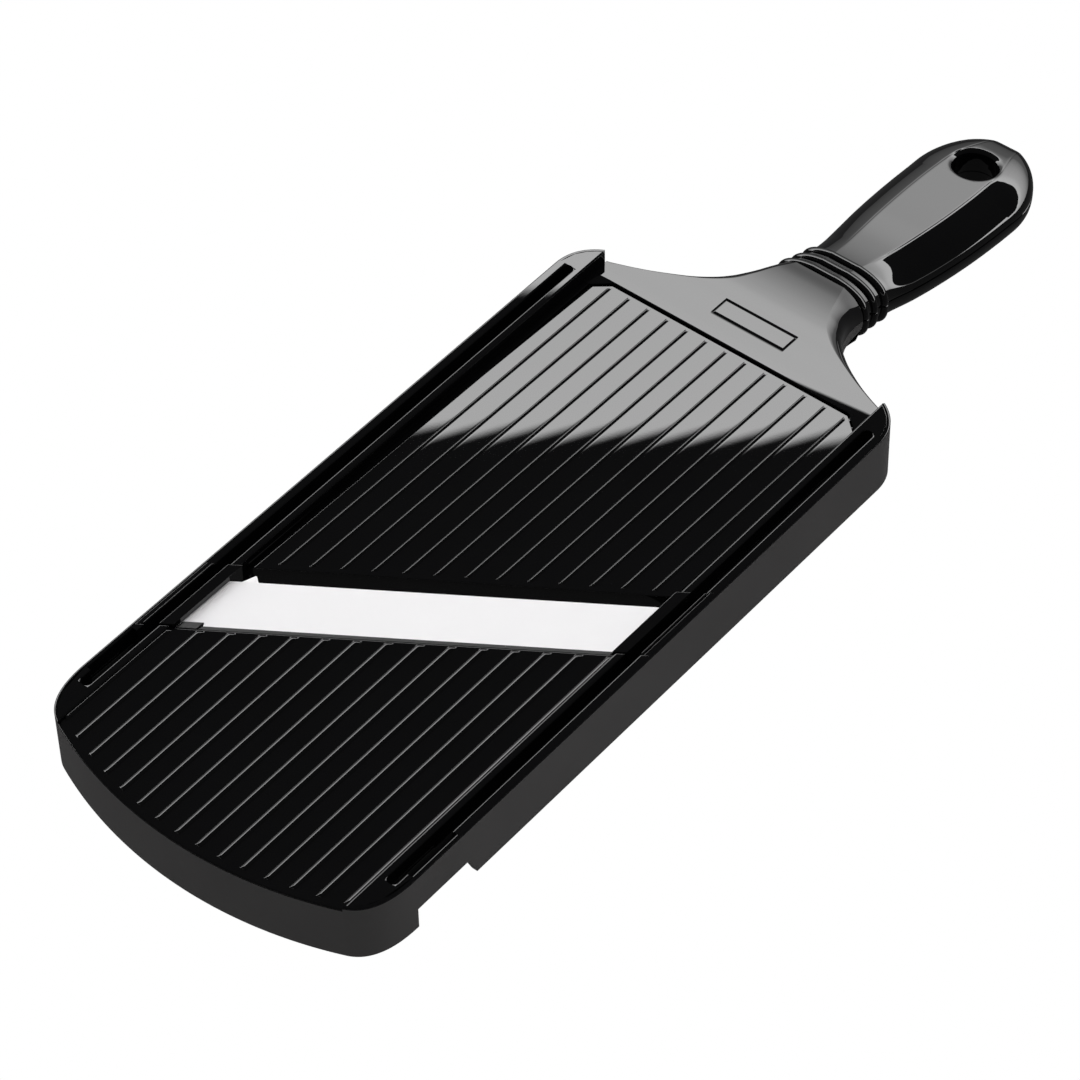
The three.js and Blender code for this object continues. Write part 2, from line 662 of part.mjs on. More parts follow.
addPiece("main_frame", mainFrame(), glossBlack());
addPiece("feed_plate", feedPlate(), glossBlack(), turned(HINGE.x, HINGE.z, PLATE_SETTING));
addPiece("blade_carrier", bladeCarrier(), satinBlack());
addPiece("ceramic_blade", ceramicBlade(), plastic(0xf6f5f6, 0.2));
sides.forEach(([word, side]) => addPiece(`blade_end_clamp_${word}`, bladeEndClamp(side), glossBlack()));
clampScrewPlaces().forEach(([side, x, y], i) => {
  const name = `clamp_screw_${side > 0 ? "left" : "right"}_${i % 2 + 1}`;
  addPiece(name, screw(x, y, LEDGE.bottom - GAP - 1.8, 7.1, 2.5, 1.8), steel());
});
addPiece("thickness_rod", thicknessRod(), satinBlack(), turned(ROD.x, ROD.z, ROD_SETTING));
sides.forEach(([word, side]) => addPiece(`rod_cap_${word}`, rodCap(side), satinBlack()));
capScrewPlaces().forEach(([side, x, y], i) => {
  const name = `cap_screw_${side > 0 ? "left" : "right"}_${i % 2 + 1}`;
  addPiece(name, screw(x, y, BEARING.capBottom - GAP - 1.6, 7.8, 2.5, 1.6), steel());
});
sides.forEach(([word, side]) => addPiece(`hinge_pin_${word}`, hingePin(side), steel()));
addPiece("handle_upper_shell", handleUpper(), glossBlack());
addPiece("handle_lower_shell", handleLower(), glossBlack());
HANDLE_SCREWS.forEach((x, i) => {
  const { z, up, down } = handleStation(x);
  const head = 1.7;
  const headFace = z - down + SCREW_WELL.deep - GAP - head;
  const length = z + up - 2.6 - headFace - head;
  addPiece(`handle_screw_${i + 1}`, screw(x, 0, headFace, length, 2.7, head), steel());
});

// The slicer stands on the floor, with the middle of its box over the origin.
deck.rotation.y = -REST_TILT;
const slicer = new THREE.Group();
slicer.add(deck);
slicer.updateMatrixWorld(true);
const bounds = new THREE.Box3().setFromObject(slicer, true);
deck.position.set(-(bounds.min.x + bounds.max.x) / 2, 0, -bounds.min.z);

export default slicer;
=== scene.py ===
import json
import math

import bmesh
import bpy
import numpy as np
from mathutils import Matrix


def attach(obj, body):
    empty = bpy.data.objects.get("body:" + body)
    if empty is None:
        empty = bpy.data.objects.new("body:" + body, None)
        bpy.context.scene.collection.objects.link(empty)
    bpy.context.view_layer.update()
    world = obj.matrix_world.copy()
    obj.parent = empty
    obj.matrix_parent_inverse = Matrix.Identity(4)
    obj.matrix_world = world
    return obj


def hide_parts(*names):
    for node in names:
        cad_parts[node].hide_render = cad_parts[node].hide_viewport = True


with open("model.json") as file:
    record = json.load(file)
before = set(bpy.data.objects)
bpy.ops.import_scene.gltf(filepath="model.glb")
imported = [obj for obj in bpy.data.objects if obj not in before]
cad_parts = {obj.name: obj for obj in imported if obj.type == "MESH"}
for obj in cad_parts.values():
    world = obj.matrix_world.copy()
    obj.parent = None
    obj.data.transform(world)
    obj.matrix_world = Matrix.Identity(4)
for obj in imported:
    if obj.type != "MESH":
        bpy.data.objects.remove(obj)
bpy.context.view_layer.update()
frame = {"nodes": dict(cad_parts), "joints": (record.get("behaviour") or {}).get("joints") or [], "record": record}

# ---- How the slicer stands ------------------------------------------------------------------------
# The slicer stands on its front edge and on its handle, so its deck leans a few degrees. Shapes are
# worked out in the deck's own frame, in millimetres: x towards the handle, y to the left, z out of
# the deck from the skirt's lower edge. The feed plate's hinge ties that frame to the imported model.

MM = 0.001
HINGE = np.array([84.0, 0.0, 12.0])
bowl_rest = next(m for m in frame["record"]["mounts"] if m["name"] == "bowl_rest_left")
lean = math.asin(bowl_rest["axis"][0])
LEAN = np.array(Matrix.Rotation(-lean, 3, "Y"))
plate_joint = next(j for j in frame["joints"] if j["name"] == "plate_tilt")
HINGE_PLACE = np.array(plate_joint["pos_m"])


def to_table(points):
    """Deck millimetres to the record's metres: taken from the hinge, leaned, put at the hinge's
    place."""
    return (points - HINGE) * MM @ LEAN.T + HINGE_PLACE


# ---- Camera ---------------------------------------------------------------------------------------
# A long lens looks down along the slicer from over its front right corner, so that the handle points
# away to the upper right and nearly parallel edges stay nearly parallel.

azimuth, elevation, roll = np.radians([-49.465, 47.037, -1.476])
CAMERA_DISTANCE = 1251.551
AIM = np.array([-0.758, 3.96])
LENS, SENSOR = 146.0107, 36.0

back = np.array([
    math.sin(azimuth) * math.cos(elevation),
    -math.cos(azimuth) * math.cos(elevation),
    math.sin(elevation),
])
level_right = np.array([math.cos(azimuth), math.sin(azimuth), 0.0])
level_up = np.cross(back, level_right)
right = math.cos(roll) * level_right + math.sin(roll) * level_up
up = math.cos(roll) * level_up - math.sin(roll) * level_right
eye = to_table(back * CAMERA_DISTANCE + right * AIM[0] + up * AIM[1])

camera_data = bpy.data.cameras.new("camera")
camera_data.lens, camera_data.sensor_width = LENS, SENSOR
camera_data.clip_start, camera_data.clip_end = 0.05, 50.0
camera = bpy.data.objects.new("camera", camera_data)
bpy.context.scene.collection.objects.link(camera)
pose = np.eye(4)
pose[:3, :3] = np.stack([LEAN @ right, LEAN @ up, LEAN @ back], axis=1)
pose[:3, 3] = eye
camera.matrix_world = Matrix(pose.tolist())
bpy.context.scene.camera = camera
bpy.context.scene.view_settings.view_transform = "Standard"


# ---- Studio ---------------------------------------------------------------------------------------
# A shadowless white table, and a lit screen that hangs behind the handle, up to about forty-five
# degrees, brightest along its upper edge. The room is dark but for a faint band at the horizon, so
# polished plastic shows the screen's upper edge as a clean line and is black past it.

class Wire:
    """An output of a shader's nodes. Arithmetic on wires and numbers adds Math nodes."""

    def __init__(self, tree, socket=None):
        self.tree, self.socket = tree, socket

    def add(self, kind, settings=None, sockets=None, out=0):
        """A node of this type: its settings first, then values or wires into its sockets."""
        node = self.tree.nodes.new(kind)
        for name, value in (settings or {}).items():
            if name == "stops":
                ramp = node.color_ramp
                while len(ramp.elements) < len(value):
                    ramp.elements.new(0.5)
                for element, (place, colour) in zip(ramp.elements, value):
                    element.position, element.color = place, colour
            else:
                setattr(node, name, value)
        for name, value in (sockets or {}).items():
            if isinstance(value, Wire):
                self.tree.links.new(value.socket, node.inputs[name])
            else:
                node.inputs[name].default_value = value
        return Wire(self.tree, node.outputs[out] if len(node.outputs) else None)

    def sum_of(self, operation, first, second):
        return self.add("ShaderNodeMath", {"operation": operation}, {0: first, 1: second})

    def __add__(self, other):
        return self.sum_of("ADD", self, other)

    def __radd__(self, other):
        return self.sum_of("ADD", other, self)

    def __sub__(self, other):
        return self.sum_of("SUBTRACT", self, other)

    def __rsub__(self, other):
        return self.sum_of("SUBTRACT", other, self)

    def __mul__(self, other):
        return self.sum_of("MULTIPLY", self, other)

    def __rmul__(self, other):
        return self.sum_of("MULTIPLY", other, self)


BACKDROP_EDGE = 0.0571
EDGE_BLUR = 0.002
BACKDROP_LIGHT, ROOM_LIGHT = 8.0, 0.05
# The table's light as the lens sees it, as dull surfaces receive it, and as polished ones mirror it.
TABLE_LIGHT, TABLE_SPREAD, TABLE_MIRRORED = 1.0, 0.6, 0.07
BAND_LIGHT, BAND_HEIGHT = 1.4, 0.06
# Share of the screen's full light at a distance in from its upper edge.
FALL = [(0.0, 0.94), (0.06, 0.82), (0.12, 0.62), (0.22, 0.46), (0.32, 0.3), (0.45, 0.1), (0.7, 0.03)]

mirror = np.array([1.0, 1.0, -1.0])
towards_backdrop = LEAN @ (up * mirror + BACKDROP_EDGE * back * mirror)

world = bpy.data.worlds.new("studio")
bpy.context.scene.world = world
world.use_nodes = True
world.node_tree.nodes.clear()
studio = Wire(world.node_tree)
direction = studio.add("ShaderNodeTexCoord", out="Generated")
height = studio.add("ShaderNodeVectorMath", {"operation": "DOT_PRODUCT"},
                    {0: direction, 1: towards_backdrop.tolist()}, out="Value")
edge = studio.add("ShaderNodeMapRange", {"interpolation_type": "SMOOTHSTEP"},
                  {"Value": height, "From Min": -EDGE_BLUR, "From Max": EDGE_BLUR})
fall_stops = [(at, (share, share, share, 1.0)) for at, share in FALL]
fall = studio.add("ShaderNodeValToRGB", {"stops": fall_stops}, {"Fac": height})
above = studio.add("ShaderNodeSeparateXYZ", None, {"Vector": direction}, out="Z")
band = studio.add("ShaderNodeMapRange", {"interpolation_type": "SMOOTHSTEP"},
                  {"Value": above, "From Min": BAND_HEIGHT, "From Max": 0.0})
seen = studio.add("ShaderNodeLightPath", out="Is Camera Ray")
room = edge * fall * BACKDROP_LIGHT + (1.0 - edge) * (band * BAND_LIGHT + ROOM_LIGHT)
strength = room * (1.0 - seen) + seen * TABLE_LIGHT
shine = studio.add("ShaderNodeBackground", None, {"Color": (1.0, 1.0, 1.0, 1.0), "Strength": strength})
studio.add("ShaderNodeOutputWorld", None, {"Surface": shine})

# A wide soft light hangs overhead for the dull surfaces. It is kept out of reflections.
SOFT_WIDTH, SOFT_HEIGHT, SOFT_POWER = 2.0, 1.6, 13.0
soft_data = bpy.data.lights.new("soft_overhead", "AREA")
soft_data.size, soft_data.energy = SOFT_WIDTH, SOFT_POWER
soft = bpy.data.objects.new("soft_overhead", soft_data)
soft.location = (0.0, 0.0, SOFT_HEIGHT)
soft.visible_glossy = False
bpy.context.scene.collection.objects.link(soft)

TABLE_HALF = 3.0
table_paint = bpy.data.materials.new("table_white")
table_paint.use_nodes = True
table_paint.node_tree.nodes.clear()
paint = Wire(table_paint.node_tree)
seen = paint.add("ShaderNodeLightPath", out="Is Camera Ray")
mirrored = paint.add("ShaderNodeLightPath", out="Is Glossy Ray")
unseen = mirrored * (TABLE_MIRRORED - TABLE_SPREAD) + TABLE_SPREAD
glow = paint.add("ShaderNodeEmission", None, {
    "Color": (1.0, 1.0, 1.0, 1.0), "Strength": unseen * (1.0 - seen) + seen * TABLE_LIGHT})
paint.add("ShaderNodeOutputMaterial", None, {"Surface": glow})
table_mesh = bpy.data.meshes.new("table")
corners = np.array([[-1, -1, 0], [1, -1, 0], [1, 1, 0], [-1, 1, 0]]) * TABLE_HALF
table_mesh.from_pydata(corners.tolist(), [], [[0, 1, 2, 3]])
table_mesh.materials.append(table_paint)
table = bpy.data.objects.new("table", table_mesh)
bpy.context.scene.collection.objects.link(table)


# ---- Main frame -----------------------------------------------------------------------------------
# One injection moulding in black plastic: a skirt round the body, a rail along each side with the
# guard's groove in it, a ribbed landing in front of the blade and shoulders that run into the neck.
# The top is polished and the skirt's outside is finely spark-eroded, so it is satin.

HALF_WIDTH, RAIL_TOP, LANDING_TOP, NECK_TOP, RAIL_BOTTOM = 60.0, 20.5, 19.5, 16.2, 12.0
DECK_HALF, PLATE_BAY = 51.2, 49.3
WALL, ROOF, RIM = 2.3, 2.5, 1.0
FRONT_X, FRONT_RADIUS = -154.3, 130.9
SLANT, SEAM_FRONT, SEAM_REAR = -0.67, -65.0, -36.0
RIB_PITCH, RIB_HEIGHT, LANDING_RIB, RAMP_RIB = 7.26, 0.45, 0.95, 0.62
EDGE, BESIDE = 0.3, 0.06


def unit(vectors):
    return vectors / np.linalg.norm(vectors, axis=-1, keepdims=True)


def rounded(corners, radius, steps=4):
    """A closed outline with an arc in each corner: the circle of that radius that touches both sides,
    with one more point a hair before and after it, which keeps the flats beside it flat."""
    corners = np.array(corners, float)
    radius = np.broadcast_to(np.array(radius, float), len(corners))[:, None]
    before, after = (unit(np.roll(corners, k, 0) - corners) for k in (1, -1))
    half = np.arccos(np.clip((before * after).sum(1), -1, 1))[:, None] / 2
    reach, turn = radius / np.tan(half), math.pi - 2 * half
    middle = corners + unit(before + after) * radius / np.sin(half)
    start, end = corners + before * reach, corners + after * reach
    share = np.linspace(0, 1, steps + 1)[None, :, None]
    turn = turn[:, None]
    arc = np.sin((1 - share) * turn) * (start - middle)[:, None]
    arc = middle[:, None] + (arc + np.sin(share * turn) * (end - middle)[:, None]) / np.sin(turn)
    beside = (start + before * BESIDE)[:, None], (end + after * BESIDE)[:, None]
    return np.concatenate([beside[0], arc, beside[1]], axis=1).reshape(-1, 2)


def pulled_in(outline, distance):
    """Each point of a closed outline moved inwards, square to the chord between its neighbours."""
    chord = unit(np.roll(outline, -1, 0) - np.roll(outline, 1, 0))
    x, y = outline.T
    turning = np.sign((x * np.roll(y, -1) - y * np.roll(x, -1)).sum())
    return outline + turning * distance * chord[:, ::-1] * [-1, 1]


def flow(x, stations):
    """A smooth curve through stations (x, value...): cubic between two, with each station's slope
    taken from its neighbours."""
    stations = np.array(stations, float)
    at, value = stations[:, 0], stations[:, 1:]
    slope = np.gradient(value, at, axis=0)
    i = np.clip(np.searchsorted(at, x) - 1, 0, len(at) - 2)
    width = at[i + 1] - at[i]
    t = ((np.clip(x, at[0], at[-1]) - at[i]) / width)[..., None]
    width = width[..., None]
    rise = (2 * t**3 - 3 * t**2 + 1) * value[i] + (3 * t**2 - 2 * t**3) * value[i + 1]
    bend = (t**3 - 2 * t**2 + t) * slope[i] + (t**3 - t**2) * slope[i + 1]
    return np.moveaxis(rise + width * bend, -1, 0)


def points(x, y, z):
    return np.stack(np.broadcast_arrays(x, y, z), axis=-1).astype(float)


class Moulding:
    """Closed bodies, worked out as grids in deck millimetres, gathered into one mesh."""

    def __init__(self, place=to_table):
        self.whole, self.place = bmesh.new(), place

    def close(self, corners, faces, finish):
        """Adds one body: coinciding points are joined and its faces are turned outwards."""
        body = bpy.data.meshes.new("body")
        body.from_pydata(self.place(corners).tolist(), [], faces)
        body.polygons.foreach_set("material_index", np.asarray(finish, np.int32))
        part = bmesh.new()
        part.from_mesh(body)
        bmesh.ops.remove_doubles(part, verts=part.verts, dist=1e-6)
        bmesh.ops.dissolve_degenerate(part, dist=1e-7, edges=part.edges)
        bmesh.ops.recalc_face_normals(part, faces=part.faces)
        part.to_mesh(body)
        part.free()
        self.whole.from_mesh(body)
        bpy.data.meshes.remove(body)

    def solid(self, top, bottom, finish=0):
        """The body between two grids of the same shape, with a wall round their borders."""
        rows, columns = top.shape[:2]
        index = np.arange(rows * columns).reshape(rows, columns)
        cells = np.stack([index[:-1, :-1], index[1:, :-1], index[1:, 1:], index[:-1, 1:]], -1)
        cells = cells.reshape(-1, 4)
        border = np.concatenate([index[0, :-1], index[:-1, -1], index[-1, :0:-1], index[:0:-1, 0]])
        wall = np.stack([border, np.roll(border, -1)], -1)
        wall = np.concatenate([wall, wall[:, ::-1] + index.size], -1)
        faces = np.concatenate([cells, cells[:, ::-1] + index.size, wall])
        kinds = np.zeros(len(faces), int)
        kinds[:len(cells)] = np.broadcast_to(finish, (rows - 1, columns - 1)).reshape(-1)
        both = np.concatenate([top.reshape(-1, 3), bottom.reshape(-1, 3)])
        self.close(both, faces.tolist(), kinds)

    def tube(self, rings, finish=0):
        """The body through closed rings of the same length, with a face over each end."""
        rows, columns = rings.shape[:2]
        index = np.arange(rows * columns).reshape(rows, columns)
        index = np.concatenate([index, index[:, :1]], axis=1)
        cells = np.stack([index[:-1, :-1], index[1:, :-1], index[1:, 1:], index[:-1, 1:]], -1)
        kinds = np.broadcast_to(finish, (rows - 1, columns)).reshape(-1)
        ends = [index[0, :-1].tolist(), index[-1, :-1].tolist()]
        self.close(rings.reshape(-1, 3), cells.reshape(-1, 4).tolist() + ends, [*kinds, 0, 0])

    def beam(self, outline, start, end, place, edge=0.2):
        """A bar of one outline from start to end, its end faces bevelled by edge. place(outline, along)
        gives the points."""
        steps = [(start, edge), (start + 0.3 * edge, 0.3 * edge), (start + edge, 0.0),
                 (start + edge + BESIDE, 0.0)]
        steps += [(start + end - along, depth) for along, depth in reversed(steps)]
        self.tube(np.stack([place(pulled_in(outline, depth), along) for along, depth in steps]))

    def across(self, corners, y0, y1, radius=EDGE, slant=SLANT):
        """A bar across the deck. Its outline is in (x, z); its x shifts with y by the blade's slant."""
        self.beam(rounded(corners, radius), y0, y1,
                  lambda at, y: points(at[:, 0] + slant * y, y, at[:, 1]))

    def along(self, corners, x0, x1, radius=EDGE, slant=0.0):
        """A bar along the deck. Its outline is in (y, z); its ends are square, or follow the slant."""
        self.beam(rounded(corners, radius), x0, x1,
                  lambda at, x: points(x + slant * at[:, 0], at[:, 0], at[:, 1]))

    def build(self, name, body, slot, stands_for, *finishes, sharp=38):
        """The finished object, riding on its body: smooth but for edges sharper than the angle."""
        mesh = bpy.data.meshes.new(name)
        self.whole.to_mesh(mesh)
        self.whole.free()
        for finish in finishes:
            mesh.materials.append(finish)
        mesh.polygons.foreach_set("use_smooth", np.ones(len(mesh.polygons), bool))
        mesh.set_sharp_from_angle(angle=math.radians(sharp))
        made = bpy.data.objects.new(name, mesh)
        bpy.context.scene.collection.objects.link(made)
        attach(made, body)
        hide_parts(*stands_for)
        return made


def box(u0, u1, v0, v1):
    return [[u0, v0], [u1, v0], [u1, v1], [u0, v1]]


def plastic(name, dark, light, shine, haze, peel, specular=0.5, mark_scale=45.0, peel_scale=1500.0):
    """Black plastic. Colour drifts slowly from dark to light, roughness from shine up by haze, and
    a fine noise lifts the surface by peel metres."""
    material = bpy.data.materials.new(name)
    material.use_nodes = True
    material.node_tree.nodes.clear()
    paint = Wire(material.node_tree)
    place = paint.add("ShaderNodeTexCoord", out="Object")
    cloud = paint.add("ShaderNodeTexNoise", None,
                      {"Vector": place, "Scale": mark_scale, "Detail": 4.0, "Roughness": 0.6})
    grain = paint.add("ShaderNodeTexNoise", None,
                      {"Vector": place, "Scale": peel_scale, "Detail": 2.0, "Roughness": 0.5})
    colour = paint.add("ShaderNodeMix", {"data_type": "RGBA"},
                       {0: cloud, 6: (*dark, 1.0), 7: (*light, 1.0)}, out=2)
    normal = paint.add("ShaderNodeBump", None, {"Height": grain, "Strength": 1.0, "Distance": peel})
    shader = paint.add("ShaderNodeBsdfPrincipled", None, {
        "Base Color": colour, "Roughness": cloud * haze + shine, "Normal": normal,
        "Specular IOR Level": specular, "IOR": 1.5,
    })
    paint.add("ShaderNodeOutputMaterial", None, {"Surface": shader})
    return material


BLACK, WORN_BLACK, PEEL = (0.0014, 0.0014, 0.0016), (0.0026, 0.0026, 0.0029), 1e-7
polished = plastic("polished_black", BLACK, WORN_BLACK, 0.004, 0.008, PEEL)
satin = plastic("satin_black", (0.058, 0.056, 0.056), (0.072, 0.07, 0.07), 0.42, 0.1, 1.2e-5,
                specular=0.3, peel_scale=2600.0)


def into_edge(*before):
    """A column of distances to an edge: the given ones, then close steps over its rounding to 0."""
    return np.array([*before, EDGE + BESIDE, EDGE, 0.62 * EDGE, 0.3 * EDGE, 0.08 * EDGE, 0.0])[:, None]


def rib_lift(offset, reach):
    """Height of a rib at an offset from its middle: the rib's height times one less the square of
    offset over reach, to the power 0.8. It is nought beyond its reach."""
    across = np.clip(np.abs(offset) / reach, 0, 1)
    return RIB_HEIGHT * (1 - across**2) ** 0.8


def ribbed_lines(ribs, half, reach):
    """The y of the lines of a ribbed plate: close together over each rib and at both edges."""
    beside = np.array([0.36, 0.66, 0.86, 0.96, 1, 1.1, 1.4, 1.9])
    over = reach * np.concatenate([-beside[::-1], [0], beside])
    lines = (np.arange(-ribs, ribs + 1)[:, None] * RIB_PITCH + over).reshape(-1)
    edge = half - into_edge()[:, 0]
    return np.unique(np.concatenate([lines[np.abs(lines) < half - 0.5], edge, -edge]))


def round_over(distance, radius=EDGE):
    """How far a rounded edge has fallen at a distance from it: the gap to a quarter circle."""
    near = np.clip(radius - distance, 0, radius)
    return radius - np.sqrt(radius**2 - near**2)


def rib_share(distance, length=0.7):
    """Share of a rib's height at a distance inside its end: a quarter ellipse up to one."""
    return np.sqrt(1 - (1 - np.clip(distance / length, 0, 1)) ** 2)


# Plan of the body: bowed front, round corners, straight sides, round rear corners.
def bent(start, middle, end, steps):
    """Points of the parabola that leaves start and reaches end, both aimed at middle."""
    t = np.linspace(0, 1, steps)[:, None]
    return (1 - t) ** 2 * np.array(start) + 2 * t * (1 - t) * np.array(middle) + t**2 * np.array(end)


CORNER_Y, CORNER_END_X, REAR_CORNER_X = 51.5, -124.4, 80.0
NOTCH_X, NOTCH_END_X, NOTCH_FOOT_X, NOTCH_HEIGHT = -124.4, -103.6, -100.3, 7.3

corner_angle = math.asin(CORNER_Y / FRONT_RADIUS)
swing = np.concatenate([np.linspace(0, math.asin(DECK_HALF / FRONT_RADIUS), 40), [corner_angle]])
swing = np.insert(swing, 40, swing[39] + 1e-4)
bow = np.stack([FRONT_X + FRONT_RADIUS * (1 - np.cos(swing)), FRONT_RADIUS * np.sin(swing)], 1)
front_corner = bent(bow[-1], (-139.9, HALF_WIDTH), (CORNER_END_X, HALF_WIDTH), 24)[1:]
side_x = np.array([NOTCH_X + 0.02, NOTCH_X + 0.3, NOTCH_X + 1.5, NOTCH_END_X - 1.5,
                   NOTCH_END_X - 0.4, NOTCH_END_X, NOTCH_FOOT_X, NOTCH_FOOT_X + 0.4,
                   -60, -20, 20, 60, REAR_CORNER_X])
side = np.stack([side_x, np.full(len(side_x), HALF_WIDTH)], 1)
rear_corner = bent((REAR_CORNER_X, HALF_WIDTH), (89.6, 59.6), (94.0, 49.6), 26)[1:]
rear_corner = rear_corner[rear_corner[:, 1] > DECK_HALF]
half_plan = np.concatenate([bow, front_corner, side, rear_corner])
plan = np.concatenate([half_plan[:0:-1] * [1, -1], half_plan])


def inwards(path):
    """Unit normals of a path in plan, to the inside of a body that lies on its right."""
    chord = unit(np.gradient(path, axis=0))
    return chord[:, ::-1] * [1, -1]


plan_inwards = inwards(plan)
inner_half = (half_plan + RIM * plan_inwards[len(half_plan) - 1:])
front_count = len(bow) + len(front_corner)
front_edge = inner_half[:front_count]
rear_edge = inner_half[len(half_plan) - len(rear_corner):][::-1]


def front_x(y):
    """x of the landing's front border, just inside the rim, at this y."""
    return np.interp(np.abs(y), front_edge[:, 1], front_edge[:, 0])


def rear_x(y):
    """x of the rail's rear border, just inside the rim, at this y."""
    return np.interp(np.abs(y), rear_edge[:, 1], rear_edge[:, 0])


# The skirt, carried along the plan: a wall with a thin polished rim on top, which steps up from the
# landing to the rails, and a notch in its lower edge for a bowl's rim.
x, y = plan.T
top = np.where(np.abs(y) < DECK_HALF + 1e-6, LANDING_TOP, RAIL_TOP)[:, None]
low = np.interp(x, [NOTCH_X, NOTCH_X + 0.02, NOTCH_END_X, NOTCH_FOOT_X],
                [0, NOTCH_HEIGHT, NOTCH_HEIGHT, 0])
low = low[:, None]
turn = np.linspace(0, math.pi / 2, 6)
RIM_ROUND, FOOT_ROUND = 0.55, 0.35
depth = [FOOT_ROUND, 0.3 * FOOT_ROUND, 0, 0, 0, *(RIM_ROUND * (1 - np.cos(turn[1:-1]))), RIM_ROUND,
         RIM_ROUND + BESIDE, RIM, RIM, WALL, WALL, WALL - 0.3 * FOOT_ROUND, WALL - FOOT_ROUND]
step_z = RAIL_BOTTOM + 0.6
heights = [low, low + 0.3 * FOOT_ROUND, low + FOOT_ROUND, low + FOOT_ROUND + BESIDE,
           top - RIM_ROUND, *[top - RIM_ROUND * (1 - math.sin(a)) for a in turn[1:-1]], top,
           top, top, 0 * top + step_z, 0 * top + RAIL_BOTTOM, low + FOOT_ROUND,
           low + 0.3 * FOOT_ROUND, low]
depth = np.array(depth)
rings = points(x[:, None] + plan_inwards[:, :1] * depth, y[:, None] + plan_inwards[:, 1:] * depth,
               np.concatenate(heights, axis=1))
wall_finish = (np.arange(len(depth)) < 4).astype(int)

moulding = Moulding()
moulding.tube(rings, wall_finish)

# The landing: a slab from the rim to the blade's seam, with fifteen ribs along it.
LANDING_RIBS, RIB_FRONT, RIB_BACK = 7, 1.6, 1.1
y = ribbed_lines(LANDING_RIBS, DECK_HALF, LANDING_RIB)[None, :]
away = np.array([0, 0.4, 1.2, 1.6, 1.7, 1.9, 2.3, 2.5])[:, None]
near = into_edge(2.2, 1.8, 1.4, 1.2, 1.1, 0.5)
seam = SEAM_FRONT + SLANT * y
x = np.concatenate([front_x(y) + away, seam - near])
nearest_rib = RIB_PITCH * np.clip(np.round(y / RIB_PITCH), -LANDING_RIBS, LANDING_RIBS)
share = rib_share(x - front_x(y) - RIB_FRONT) * rib_share(seam - RIB_BACK - x)
z = LANDING_TOP + rib_lift(y - nearest_rib, LANDING_RIB) * share - round_over(seam - x)
moulding.solid(points(x, y, z), points(x, y, LANDING_TOP - ROOF))

# The rails: flat on top, with the guard's groove sunk along them. The groove's ends are half round,
# and near the front its outer side opens wider, to let the guard's feet in.
GROOVE_IN, GROOVE_OUT, GROOVE_FLOOR = 53.6, 57.0, 14.5
GROOVE_START, GROOVE_END = -130.0, 81.0
ENTRY_START, ENTRY_END, ENTRY_WIDER = -124.7, -106.3, 1.5
GROOVE_EDGE, RAIL_EDGE = 0.45, 0.55

turn = np.linspace(0, math.pi / 2, 5)
fall = GROOVE_EDGE * (1 - np.sin(turn))
run = GROOVE_EDGE * (1 - np.cos(turn))
inner_fall = RAIL_EDGE * (1 - np.sin(turn))
inner_run = RAIL_EDGE * (1 - np.cos(turn))
middle = (GROOVE_IN + GROOVE_OUT) / 2
lines = [(DECK_HALF + r, RAIL_TOP - f, 0, 0) for r, f in zip(inner_run, inner_fall)]
lines += [(DECK_HALF + RAIL_EDGE + BESIDE, RAIL_TOP, 0, 0)]
lines += [(GROOVE_IN - GROOVE_EDGE - BESIDE, RAIL_TOP, 0, 0)]
lines += [(GROOVE_IN - r, RAIL_TOP - f, 1, 0) for r, f in zip(run[::-1], fall[::-1])]
groove = [(GROOVE_IN, GROOVE_FLOOR + 0.3), (GROOVE_IN + 0.1, GROOVE_FLOOR + 0.1),
          (GROOVE_IN + 0.3, GROOVE_FLOOR), (GROOVE_OUT - 0.3, GROOVE_FLOOR),
          (GROOVE_OUT - 0.1, GROOVE_FLOOR + 0.1), (GROOVE_OUT, GROOVE_FLOOR + 0.3)]
lines += [(a, b, 1, 1 if a > middle else 0) for a, b in groove]
lines += [(GROOVE_OUT + r, RAIL_TOP - f, 1, 1) for r, f in zip(run, fall)]
lines += [(GROOVE_OUT + GROOVE_EDGE + BESIDE, RAIL_TOP, 0, 1), (HALF_WIDTH - RIM, RAIL_TOP, 0, 0)]
line_y, line_z, in_groove, moves_out = np.array(lines).T

END_ROUND = (GROOVE_OUT - GROOVE_IN) / 2
swing = np.linspace(0, math.pi / 2, 9)
end_x = END_ROUND * (1 - np.cos(swing))


def rail(side, rows, start, end, open_at, wider_at, bottom):
    """One length of rail. Rows of x are held between start(y) and end(y); across, the lines of the
    groove close in on its middle by open_at and its outer lines move out by wider_at."""
    rows, open_at, wider_at = (np.array(v, float)[:, None] for v in (rows, open_at, wider_at))
    y = np.where(in_groove > 0, middle + (line_y - middle) * np.maximum(open_at, 0), line_y)
    y = np.where(moves_out > 0, y + wider_at, y)
    z = np.where(open_at >= 0, line_z, np.where(in_groove > 0, RAIL_TOP, line_z))
    y = np.maximum.accumulate(y, axis=1)
    close = into_edge(2.0 * EDGE)
    x = np.clip(rows, start(y * side), end(y * side) - 3 * EDGE)
    last_y, last_z = np.repeat(y[-1:], len(close), 0), np.repeat(z[-1:], len(close), 0)
    x = np.concatenate([x, end(last_y * side) - close])
    y, z = np.concatenate([y, last_y]), np.concatenate([z, last_z])
    fallen = round_over(end(y * side) - x) * (z > RAIL_TOP - 2 * EDGE)
    moulding.solid(points(x, side * y, z - fallen), points(x, side * y, bottom))


